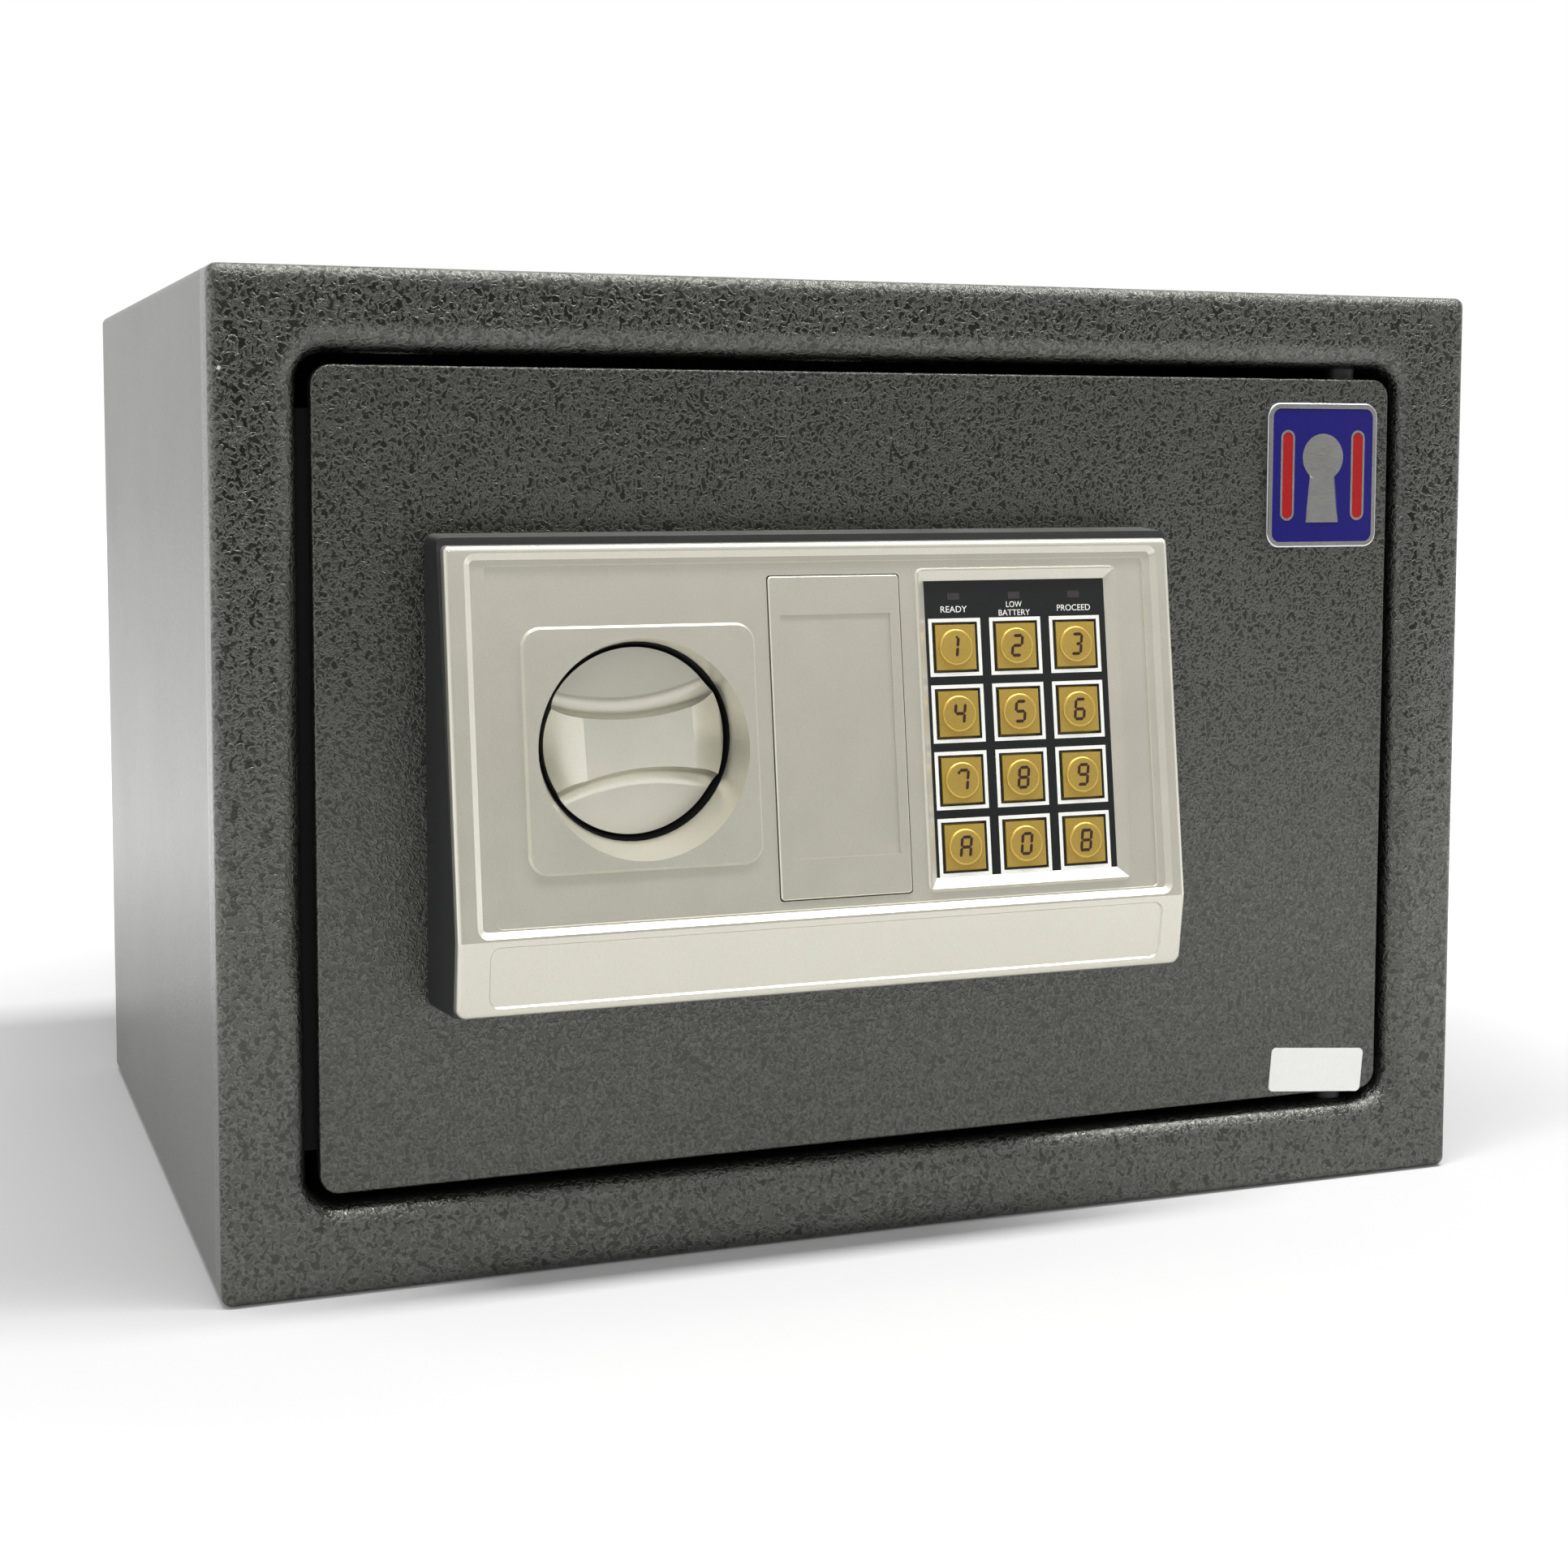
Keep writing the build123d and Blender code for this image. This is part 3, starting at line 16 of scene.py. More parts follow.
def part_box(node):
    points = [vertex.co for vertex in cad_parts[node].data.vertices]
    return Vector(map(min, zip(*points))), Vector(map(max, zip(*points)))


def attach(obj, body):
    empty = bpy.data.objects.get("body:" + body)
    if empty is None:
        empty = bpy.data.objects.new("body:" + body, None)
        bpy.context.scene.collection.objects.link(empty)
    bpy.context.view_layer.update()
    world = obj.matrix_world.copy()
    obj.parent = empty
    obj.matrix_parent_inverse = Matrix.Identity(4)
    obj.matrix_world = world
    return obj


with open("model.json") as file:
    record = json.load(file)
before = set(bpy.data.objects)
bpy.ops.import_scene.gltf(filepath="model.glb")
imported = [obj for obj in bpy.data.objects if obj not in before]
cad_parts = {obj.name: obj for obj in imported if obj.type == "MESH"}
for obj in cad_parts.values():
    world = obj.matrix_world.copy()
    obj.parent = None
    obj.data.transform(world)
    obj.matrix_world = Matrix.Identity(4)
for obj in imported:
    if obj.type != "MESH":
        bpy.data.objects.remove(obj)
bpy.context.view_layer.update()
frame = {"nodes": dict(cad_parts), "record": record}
MM = 0.001

# %% [markdown]
# Finishes are built from shader nodes. A few small helpers keep that short: one adds a node with
# its settings, one links sockets, one lays a colour over another where a mask says so, and one
# writes a colour the way a screen shows it, because the shader wants linear light. An effect that
# several finishes share becomes a node group, so it is built once and mended in one place.

# %% Node helpers
NUMBER, VECTOR = "NodeSocketFloat", "NodeSocketVector"
# a Mix node has its own sockets for each kind of value
MIX_NUMBERS_A, MIX_NUMBERS_B = 2, 3
MIX_COLOURS_A, MIX_COLOURS_B, MIX_COLOURS_RESULT = 6, 7, 2


def add(tree, kind, inputs=None, **settings):
    """Adds one shader node, with its settings and the values of its unlinked sockets."""
    node = tree.nodes.new(kind)
    for key, value in settings.items():
        setattr(node, key, value)
    for socket, value in (inputs or {}).items():
        node.inputs[socket].default_value = value
    return node


def wire(tree, *links):
    """Links pairs of sockets, each from a node's output to another one's input."""
    for source, target in links:
        tree.links.new(source, target)


def lay_over(tree, mask, under, over):
    """A colour that goes from one to another with a mask. Each is a colour or a socket."""
    mix = add(tree, "ShaderNodeMix", data_type="RGBA")
    tree.links.new(mask, mix.inputs[0])
    for place, colour in ((MIX_COLOURS_A, under), (MIX_COLOURS_B, over)):
        if isinstance(colour, bpy.types.NodeSocket):
            tree.links.new(colour, mix.inputs[place])
        else:
            mix.inputs[place].default_value = colour
    return mix.outputs[MIX_COLOURS_RESULT]


def screen(*levels):
    """A colour given as red, green and blue from 0 to 255, in linear light with full alpha."""
    parts = [level / 255 for level in levels]
    return (*(p / 12.92 if p < 0.04 else ((p + 0.055) / 1.055) ** 2.4 for p in parts), 1)


def effect(name, inputs, outputs):
    """An empty shader node group with named sockets, and its inner input and output nodes."""
    group = bpy.data.node_groups.new(name, "ShaderNodeTree")
    for title, (kind, value) in inputs.items():
        socket = group.interface.new_socket(title, in_out="INPUT", socket_type=kind)
        socket.default_value = value
    for title in outputs:
        group.interface.new_socket(title, in_out="OUTPUT", socket_type=NUMBER)
    return group, add(group, "NodeGroupInput"), add(group, "NodeGroupOutput")


print("middle grey in linear light:", round(screen(128, 128, 128)[0], 3))

# %% [markdown]
# The body and the door carry a hammer-textured powder coat: small connected lumps, one to two
# millimetres across, with darker paint in the hollows. A picture of it would repeat and blur.
# Noise at the real scale does neither, so the texture is a node group with its lump size as an
# input. Where the noise crosses its middle value it draws long winding ridges, the worms, which
# are mixed with round lumps in any share. Other sizes give felt and plastic their grain, and a
# much slower noise is put out as a second value, for large soft patches.

# %% Grain: lumps and worms of a given size
grain, start, end = effect(
    "grain",
    {
        "Size": (NUMBER, 0.0015), "Stretch": (VECTOR, (1, 1, 1)), "Softness": (NUMBER, 0.3),
        "Worms": (NUMBER, 0.0),
    },
    ("Height", "Shade"),
)
RIDGE_HALF_WIDTH = 0.11
PATCH_SCALE = 0.02
place = add(grain, "ShaderNodeTexCoord")
stretched = add(grain, "ShaderNodeVectorMath", operation="MULTIPLY")
per_metre = add(grain, "ShaderNodeMath", {0: 1.0}, operation="DIVIDE")
noise = add(grain, "ShaderNodeTexNoise", {"Detail": 3.0, "Roughness": 0.45, "Distortion": 0.5})
low = add(grain, "ShaderNodeMath", {0: 0.5}, operation="SUBTRACT")
high = add(grain, "ShaderNodeMath", {0: 0.5}, operation="ADD")
lumps = add(grain, "ShaderNodeMapRange", interpolation_type="SMOOTHSTEP")
from_middle = add(grain, "ShaderNodeMath", {1: 0.5}, operation="SUBTRACT")
distance = add(grain, "ShaderNodeMath", operation="ABSOLUTE")
worms = add(
    grain, "ShaderNodeMapRange", {"From Min": RIDGE_HALF_WIDTH, "From Max": 0.0},
    interpolation_type="SMOOTHSTEP",
)
form = add(grain, "ShaderNodeMix", data_type="FLOAT")
patch_rate = add(grain, "ShaderNodeMath", {1: PATCH_SCALE}, operation="MULTIPLY")
patches = add(grain, "ShaderNodeTexNoise", {"Detail": 4.0, "Roughness": 0.6})
wire(
    grain,
    (place.outputs["Object"], stretched.inputs[0]),
    (start.outputs["Stretch"], stretched.inputs[1]),
    (start.outputs["Size"], per_metre.inputs[1]),
    (stretched.outputs[0], noise.inputs["Vector"]),
    (per_metre.outputs[0], noise.inputs["Scale"]),
    (start.outputs["Softness"], low.inputs[1]),
    (start.outputs["Softness"], high.inputs[1]),
    (noise.outputs["Fac"], lumps.inputs["Value"]),
    (low.outputs[0], lumps.inputs["From Min"]),
    (high.outputs[0], lumps.inputs["From Max"]),
    (noise.outputs["Fac"], from_middle.inputs[0]),
    (from_middle.outputs[0], distance.inputs[0]),
    (distance.outputs[0], worms.inputs["Value"]),
    (start.outputs["Worms"], form.inputs[0]),
    (lumps.outputs["Result"], form.inputs[MIX_NUMBERS_A]),
    (worms.outputs["Result"], form.inputs[MIX_NUMBERS_B]),
    (per_metre.outputs[0], patch_rate.inputs[0]),
    (place.outputs["Object"], patches.inputs["Vector"]),
    (patch_rate.outputs[0], patches.inputs["Scale"]),
    (form.outputs[0], end.inputs["Height"]),
    (patches.outputs["Fac"], end.inputs["Shade"]),
)
print("grain group:", len(grain.nodes), "nodes")

# %% [markdown]
# Handling wears a finish on its edges first. The Bevel node gives the normal that a slightly
# rounded edge would have, so where it differs from the true normal there is an edge. That finds
# every edge by itself, with no painting. Noise breaks the line up, because real wear is patchy.
# On the silver paint the same pale edge also stands for a painted highlight along the rims.

# %% Edge wear and painted glint: a mask along worn edges
edge_wear_and_glint, start, end = effect(
    "edge wear and glint", {"Radius": (NUMBER, 0.0004), "Amount": (NUMBER, 0.5)}, ("Mask",)
)
place = add(edge_wear_and_glint, "ShaderNodeTexCoord")
rounded = add(edge_wear_and_glint, "ShaderNodeBevel", samples=4)
true_face = add(edge_wear_and_glint, "ShaderNodeNewGeometry")
agreement = add(edge_wear_and_glint, "ShaderNodeVectorMath", operation="DOT_PRODUCT")
on_edge = add(edge_wear_and_glint, "ShaderNodeMapRange", {"From Min": 0.995, "From Max": 0.86})
flakes = add(edge_wear_and_glint, "ShaderNodeTexNoise", {"Scale": 260.0, "Detail": 5.0, "Roughness": 0.7})
in_flake = add(edge_wear_and_glint, "ShaderNodeMapRange", {"From Min": 0.42, "From Max": 0.62})
broken = add(edge_wear_and_glint, "ShaderNodeMath", operation="MULTIPLY")
amount = add(edge_wear_and_glint, "ShaderNodeMath", operation="MULTIPLY")
wire(
    edge_wear_and_glint,
    (start.outputs["Radius"], rounded.inputs["Radius"]),
    (rounded.outputs["Normal"], agreement.inputs[0]),
    (true_face.outputs["Normal"], agreement.inputs[1]),
    (agreement.outputs["Value"], on_edge.inputs["Value"]),
    (place.outputs["Object"], flakes.inputs["Vector"]),
    (flakes.outputs["Fac"], in_flake.inputs["Value"]),
    (on_edge.outputs["Result"], broken.inputs[0]),
    (in_flake.outputs["Result"], broken.inputs[1]),
    (broken.outputs[0], amount.inputs[0]),
    (start.outputs["Amount"], amount.inputs[1]),
    (amount.outputs[0], end.inputs["Mask"]),
)
print("edge wear and glint group:", len(edge_wear_and_glint.nodes), "nodes")

# %% [markdown]
# Dust settles on faces that look up and stays off the rest. The normal's upward part gives the
# place, and a broad noise makes it uneven.

# %% Dust: a mask on faces that look up
dust, start, end = effect("dust", {"Amount": (NUMBER, 0.2)}, ("Mask",))
place = add(dust, "ShaderNodeTexCoord")
true_face = add(dust, "ShaderNodeNewGeometry")
direction = add(dust, "ShaderNodeSeparateXYZ")
level = add(dust, "ShaderNodeMapRange", {"From Min": 0.55, "From Max": 1.0})
drift = add(dust, "ShaderNodeTexNoise", {"Scale": 35.0, "Detail": 8.0, "Roughness": 0.7})
uneven = add(dust, "ShaderNodeMath", operation="MULTIPLY")
amount = add(dust, "ShaderNodeMath", operation="MULTIPLY")
wire(
    dust,
    (true_face.outputs["Normal"], direction.inputs[0]),
    (direction.outputs["Z"], level.inputs["Value"]),
    (place.outputs["Object"], drift.inputs["Vector"]),
    (level.outputs["Result"], uneven.inputs[0]),
    (drift.outputs["Fac"], uneven.inputs[1]),
    (uneven.outputs[0], amount.inputs[0]),
    (start.outputs["Amount"], amount.inputs[1]),
    (amount.outputs[0], end.inputs["Mask"]),
)
print("dust group:", len(dust.nodes), "nodes")

# %% [markdown]
# Every finish on the safe has the same layers: a base colour that shifts a little with the grain,
# a worn colour on the edges, which on the silver paint is partly a painted highlight, and dust on
# top. One function stacks them, and each material gives its own sizes and colours. Values that
# are the same all over go straight to the shader's sockets.
# Thick paint also rounds a folded edge. A wide Bevel normal under the bump shows that, and the
# steel keeps its true fold.

# %% One function for layered finishes
DUST_COLOUR = screen(170, 166, 158)
BARE_STEEL = screen(190, 190, 188)


def finish(
    name, hollow, raised, rough=(0.4, 0.5), metal=0.0, size=0.0015, stretch=(1, 1, 1),
    softness=0.3, worms=0.0, relief=0.2, depth=0.0001, mottle=0.15, worn=None, wear=0.5,
    radius=0.0004, dusty=0.0, soften=0.0, **shader_values
):
    """A material whose colour runs from hollow to raised with the grain, with an edge colour for
    wear that on silver paint is partly a painted highlight.
    """
    material = bpy.data.materials.new(name)
    material.use_nodes = True
    tree = material.node_tree
    shader = tree.nodes["Principled BSDF"]
    shader.inputs["Metallic"].default_value = metal
    for socket, value in shader_values.items():
        shader.inputs[socket.replace("_", " ")].default_value = value
    texture = add(
        tree, "ShaderNodeGroup",
        {"Size": size, "Stretch": stretch, "Softness": softness, "Worms": worms}, node_tree=grain,
    )
    height, shade = texture.outputs["Height"], texture.outputs["Shade"]
    lightness = add(tree, "ShaderNodeMapRange", {"To Min": 1 - mottle, "To Max": 1 + mottle})
    cloudy = add(tree, "ShaderNodeVectorMath", operation="SCALE")
    gloss = add(tree, "ShaderNodeMapRange", {"To Min": rough[0], "To Max": rough[1]})
    wire(
        tree,
        (lay_over(tree, height, hollow, raised), cloudy.inputs[0]),
        (shade, lightness.inputs["Value"]),
        (lightness.outputs["Result"], cloudy.inputs["Scale"]),
        (shade, gloss.inputs["Value"]),
    )
    colour, roughness = cloudy.outputs[0], gloss.outputs["Result"]
    if worn:
        edges = add(
            tree, "ShaderNodeGroup", {"Radius": radius, "Amount": wear}, node_tree=edge_wear_and_glint
        )
        colour = lay_over(tree, edges.outputs["Mask"], colour, worn)
    if dusty:
        film = add(tree, "ShaderNodeGroup", {"Amount": dusty}, node_tree=dust).outputs["Mask"]
        colour = lay_over(tree, film, colour, DUST_COLOUR)
        dull = add(tree, "ShaderNodeMath", operation="ADD", use_clamp=True)
        wire(tree, (roughness, dull.inputs[0]), (film, dull.inputs[1]))
        roughness = dull.outputs[0]
    bump = add(tree, "ShaderNodeBump", {"Strength": relief, "Distance": depth})
    if soften:
        thick_paint = add(tree, "ShaderNodeBevel", {"Radius": soften}, samples=6)
        tree.links.new(thick_paint.outputs["Normal"], bump.inputs["Normal"])
    wire(
        tree,
        (height, bump.inputs["Height"]),
        (colour, shader.inputs["Base Color"]),
        (roughness, shader.inputs["Roughness"]),
        (bump.outputs["Normal"], shader.inputs["Normal"]),
    )
    return material


print("finishes are stacked as grain, worn edges and dust")

# %% [markdown]
# The powder coat holds metal flake, so it is dark but glitters where a lump faces the light. It is
# nearly all metallic with a satin gloss, and its edges show a trace of steel. Three strengths of
# one paint are used, as the pieces are sprayed apart: the frame has the boldest lumps and its
# folds are rounded by the paint, the door is a little finer, and the shell behind is the flattest.

# %% Hammer paint
PAINT_WEAR = {"mottle": 0.08, "worn": BARE_STEEL, "wear": 0.12, "radius": 0.0005}
frame_paint = finish(
    "hammer_paint", screen(68, 69, 65), screen(114, 115, 110), rough=(0.2, 0.27), metal=0.92,
    size=0.0015, worms=0.6, relief=0.85, depth=0.00016, soften=0.0045, **PAINT_WEAR,
)
door_paint = finish(
    "door_hammer_paint", screen(72, 73, 69), screen(104, 105, 100), rough=(0.24, 0.31),
    metal=0.92, size=0.0014, worms=0.7, relief=0.7, depth=0.00014, **PAINT_WEAR,
)
shell_paint = finish(
    "shell_hammer_paint", screen(80, 81, 77), screen(98, 99, 94), rough=(0.26, 0.34), metal=0.8,
    size=0.0013, worms=0.55, relief=0.45, depth=0.0001, dusty=0.05, **PAINT_WEAR,
)
materials = {"body_paint": frame_paint}
print("three strengths of hammer paint")

# %% [markdown]
# The floor mat is needle felt, a matt mass of short fibres that lie mostly one way. Fibres that
# small would be too many to model, so a stretched grain and the shader's sheen stand in for them.
# The label is coated paper, which is nearly smooth and a little yellowed at its edges.

# %% Felt and label paper
materials["felt"] = finish(
    "needle_felt", screen(66, 66, 70), screen(104, 104, 108), rough=(0.92, 1.0), size=0.0007,
    stretch=(1, 0.35, 1), relief=0.9, depth=0.0006, mottle=0.2, dusty=0.2,
    Sheen_Weight=0.4, Sheen_Roughness=0.6,
)
materials["label_paper"] = finish(
    "label_paper", screen(232, 232, 228), screen(243, 243, 240), rough=(0.42, 0.5), size=0.0003,
    relief=0.06, depth=0.00002, mottle=0.02, worn=screen(205, 203, 196), wear=0.25, radius=0.0003,
)
print("felt and paper ready")

# %% [markdown]
# The panel, the knob and the lock cover are moulded plastic under warm silver paint. Fine flake
# makes the sheen, so the metal value is high and the grain is a quarter of a millimetre. Its pale
# edge colour is partly wear and partly a painted highlight, the thin bright line along the rims.
# The other plastics are coloured right through, and differ in colour, gloss and grain alone.

# %% Plastics
# the pale edge colour here is wear and also a painted highlight along the rims
materials["silver_plastic"] = finish(
    "silver_paint", screen(209, 206, 192), screen(220, 218, 206), rough=(0.3, 0.36), metal=0.75,
    size=0.00025, relief=0.1, depth=0.00002, mottle=0.03, worn=screen(228, 228, 222), wear=0.15,
)
materials["dark_plastic"] = finish(
    "dark_moulding", screen(28, 31, 30), screen(38, 41, 40), rough=(0.45, 0.58), size=0.0004,
    relief=0.3, depth=0.00008, mottle=0.1, worn=screen(78, 78, 80), wear=0.4, dusty=0.25,
)
materials["red_plastic"] = finish(
    "red_button", screen(150, 18, 14), screen(172, 26, 20), rough=(0.25, 0.35), size=0.0004,
    relief=0.1, depth=0.00003, worn=screen(196, 60, 50), radius=0.0003,
)
materials["nylon"] = finish(
    "black_nylon", screen(26, 26, 27), screen(36, 36, 37), rough=(0.45, 0.55), size=0.0005,
    relief=0.15, depth=0.00005, worn=screen(70, 70, 72), wear=0.4,
)
materials["silicone"] = finish(
    "silicone", screen(112, 113, 116), screen(128, 129, 132), rough=(0.6, 0.7), size=0.0006,
    relief=0.15, depth=0.00005, dusty=0.15,
)
materials["lamp_lens"] = finish(
    "lamp_lens", screen(50, 46, 48), screen(60, 54, 56), rough=(0.18, 0.26), size=0.0008,
    relief=0.05, depth=0.00002, mottle=0.2, Coat_Weight=0.4,
)
print("plastics ready")

# %% [markdown]
# Steel parts behind the door are zinc plated. Turned parts are bright, and sheet parts keep the
# drawn lines of the mill, which is grain stretched a long way in one direction. The key caps are
# plastic under gold paint, and stand here because their flake makes them nearly metal too.

# %% Metals
materials["bright_steel"] = finish(
    "bright_zinc", screen(176, 178, 182), screen(204, 206, 208), rough=(0.16, 0.28), metal=1.0,
    size=0.0003, stretch=(1, 0.1, 1), relief=0.08, depth=0.00003, mottle=0.08,
    worn=screen(226, 226, 226),
)
materials["raw_steel"] = finish(
    "zinc_sheet", screen(140, 143, 146), screen(170, 172, 174), rough=(0.32, 0.46), metal=1.0,
    size=0.0004, stretch=(0.04, 1, 1), relief=0.12, depth=0.00004, mottle=0.16,
    worn=screen(206, 206, 206), wear=0.6, dusty=0.1,
)
materials["badge_metal"] = finish(
    "badge_silver", screen(196, 198, 202), screen(214, 216, 218), rough=(0.2, 0.3), metal=1.0,
    size=0.0002, stretch=(0.08, 1, 1), relief=0.08, depth=0.00002, mottle=0.05,
    worn=screen(234, 234, 234), radius=0.0003,
)
materials["gold_keys"] = finish(
    "gold_paint", screen(196, 164, 78), screen(212, 182, 96), rough=(0.26, 0.34), metal=0.7,
    size=0.00025, relief=0.12, depth=0.00003, mottle=0.05, worn=screen(224, 200, 120),
    radius=0.0003,
)
print("metals ready")

# %% [markdown]
# The boards are glass fibre under green solder mask, and the cells have a printed wrap. Both only
# show with the cover off, so a slow grain gives the weave and the print.

# %% Boards and cells
materials["circuit_board"] = finish(
    "solder_mask", screen(22, 84, 48), screen(34, 108, 62), rough=(0.25, 0.35), size=0.0011,
    stretch=(1, 1, 0.3), softness=0.06, depth=0.00005, mottle=0.1,
    worn=screen(180, 170, 110), wear=0.6,
)
materials["cell_wrap"] = finish(
    "cell_wrap", screen(34, 38, 48), screen(196, 140, 60), rough=(0.2, 0.3), metal=0.3, size=0.03,
    stretch=(1, 0.001, 0.001), softness=0.02, relief=0.02, depth=0.00002, Coat_Weight=0.5,
)
print(len(materials), "finishes, one for each slot")

# %% [markdown]
# The record names a slot for each piece, so one loop dresses the whole safe and misses nothing. A
# few pieces then get a finish of their own within their slot. The keypad face is a printed black
# film, smoother than the moulded parts. The strip that the door shuts against is near black as
# painted shade: it throws back so little light that the gap round the door looks deep.

# %% Dress every piece
# near black used as painted shade: on the stop strip in the door gap, and at the root of the knob's
# well
painted_shade_black = finish(
    "painted_shade_black", screen(8, 8, 9), screen(14, 14, 15), rough=(0.75, 0.85), size=0.0004,
    depth=0.00004, Specular_IOR_Level=0.2,
)
keypad_film = finish(
    "keypad_film", screen(16, 19, 20), screen(24, 27, 28), rough=(0.24, 0.32), size=0.0003,
    relief=0.08, depth=0.00002, mottle=0.1, worn=screen(60, 62, 64), wear=0.2,
)
for row in frame["record"]["subparts"]:
    node = frame["nodes"][row["node"]]
    node.data.materials.clear()
    node.data.materials.append(materials[row["material_slot"]])
# the stop strip gets the near black of painted shade, so that the door gap looks deep
OWN_FINISH = {
    "door_plate": door_paint, "body_shell": shell_paint, "stop_strip": painted_shade_black,
    "keypad_face": keypad_film,
}
for name, own in OWN_FINISH.items():
    frame["nodes"][name].data.materials[0] = own
print(len(frame["nodes"]), "nodes dressed,", len(OWN_FINISH), "in a finish of their own")

# %% [markdown]
# Printed marks are thin raised shapes, because ink stands a little proud and a mesh keeps a crisp
# edge at any distance. A flat outline is filled, given its thickness and laid on a plane. For the
# keypad, that is the sloping plane that the panel was drawn on: u runs to the right and v up.

# %% Inks, and thin shapes on a plane
PANEL_BEND = Vector((0, -149.4, 90)) * MM
PANEL_TILT = math.atan2(24.4 - 12.0, 183.6 - 90.0)
KEYPAD_DEPTH = 2.6
white_ink = finish(
    "white_ink", screen(232, 232, 226), screen(244, 244, 240), size=0.0002, relief=0.05,
    depth=0.00001, mottle=0.03,
)
key_ink = finish(
    "key_ink", screen(40, 10, 12), screen(52, 16, 18), rough=(0.35, 0.45), size=0.0002,
    relief=0.05, depth=0.00001, mottle=0.08,
)
slope = Matrix.Translation(PANEL_BEND) @ Matrix.Rotation(math.pi / 2 - PANEL_TILT, 4, "X")


def closed_mesh(name, shape):
    """The mesh of a finished shape, with every face turned outward."""
    bmesh.ops.recalc_face_normals(shape, faces=shape.faces)
    mesh = bpy.data.meshes.new(name)
    shape.to_mesh(mesh)
    shape.free()
    return mesh


def settle(name, mesh, material, body):
    """Puts a new mesh into the scene as a piece that moves with its body."""
    mesh.materials.append(material)
    piece = bpy.data.objects.new(name, mesh)
    bpy.context.scene.collection.objects.link(piece)
    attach(piece, body)


def plate(name, outlines, plane, height, thickness, material, body):
    """Flat outlines in millimetres, made into one thin piece that stands on a plane at a height."""
    shape = bmesh.new()
    for outline in outlines:
        face = shape.faces.new([shape.verts.new((x * MM, y * MM, height * MM)) for x, y in outline])
        pulled = bmesh.ops.extrude_face_region(shape, geom=[face])["geom"]
        top = [part for part in pulled if isinstance(part, bmesh.types.BMVert)]
        bmesh.ops.translate(shape, vec=(0, 0, thickness * MM), verts=top)
    mesh = closed_mesh(name, shape)
    mesh.transform(plane)
    settle(name, mesh, material, body)


print("the panel leans back by", round(math.degrees(PANEL_TILT), 1), "degrees")

# %% [markdown]
# Twelve white frames stand round the keys, with a thin black gap between frame and key. Each is
# four mitred strips, so that the outline stays open in the middle.

# %% Key frames
KEYS = "123456789a0b"
KEY_FIRST, KEY_PITCH = (11.2, 67.1), (17.25, 17.1)
FRAME_SIZE, FRAME_LINE = (14.7, 14.9), 0.95
INK_THICKNESS = 0.03
key_middles = {
    key: (KEY_FIRST[0] + (i % 3) * KEY_PITCH[0], KEY_FIRST[1] - (i // 3) * KEY_PITCH[1])
    for i, key in enumerate(KEYS)
}


def inset(size, line):
    """A width and a height, less a line on every side."""
    return size[0] - 2 * line, size[1] - 2 * line


def corners(middle, size):
    """The four corners of a rectangle, from its lower left to its upper left."""
    return [
        (middle[0] + side * size[0] / 2, middle[1] + up * size[1] / 2)
        for side, up in ((-1, -1), (1, -1), (1, 1), (-1, 1))
    ]


def mitred(middle, size, line):
    """The four strips of a rectangular frame. Index i - 3 is the next corner round."""
    outer, inner = corners(middle, size), corners(middle, inset(size, line))
    return [[outer[i], outer[i - 3], inner[i - 3], inner[i]] for i in range(4)]


strips = [strip for spot in key_middles.values() for strip in mitred(spot, FRAME_SIZE, FRAME_LINE)]
plate(
    "key_frames", strips, slope, -KEYPAD_DEPTH, INK_THICKNESS, white_ink, "door"
)
print(len(strips), "strips make", len(key_middles), "frames")

# %% [markdown]
# Each key has a character in slanted strokes, like those of a number display. A character is a
# choice from a few strokes, so one list of strokes draws them all, and no font is needed. Each
# one rides on its own key, and goes down with it.

# %% Key characters
KEY_PROUD, KEY_DOME = 0.3, 0.6
KEY_TOP = KEY_PROUD + KEY_DOME - KEYPAD_DEPTH
CHARACTER, STROKE, SLANT, STROKE_GAP = (2.6, 5.1), 0.8, 0.12, 0.05
# each stroke runs between two points of a box that reaches 1 each way from its middle
STROKES = {
    "top": ((-1, 1), (1, 1)), "middle": ((-1, 0), (1, 0)), "bottom": ((-1, -1), (1, -1)),
    "left_up": ((-1, 0), (-1, 1)), "right_up": ((1, 0), (1, 1)),
    "left_down": ((-1, -1), (-1, 0)), "right_down": ((1, -1), (1, 0)),
    "flag": ((-0.5, 1), (0.2, 1)), "tick": ((-1, 0.55), (-1, 1)),
    "tall_up": ((0.2, 0), (0.2, 1)), "tall_down": ((0.2, -1), (0.2, 0)),
    "short_middle": ((-0.2, 0), (1, 0)),
    "long_top": ((-1.3, 1), (1, 1)), "long_bottom": ((-1.3, -1), (1, -1)),
}
CHARACTERS = {
    "1": "flag tall_up tall_down",
    "2": "top right_up middle left_down bottom",
    "3": "top right_up short_middle right_down bottom",
    "4": "left_up middle right_up right_down",
    "5": "top left_up middle right_down bottom",
    "6": "top left_up middle left_down right_down bottom",
    "7": "tick top right_up right_down",
    "8": "top middle bottom left_up right_up left_down right_down",
    "9": "top left_up middle right_up right_down bottom",
    "a": "top left_up right_up middle left_down right_down",
    "0": "top bottom left_up right_up left_down right_down",
    "b": "long_top middle long_bottom left_up right_up left_down right_down",
}


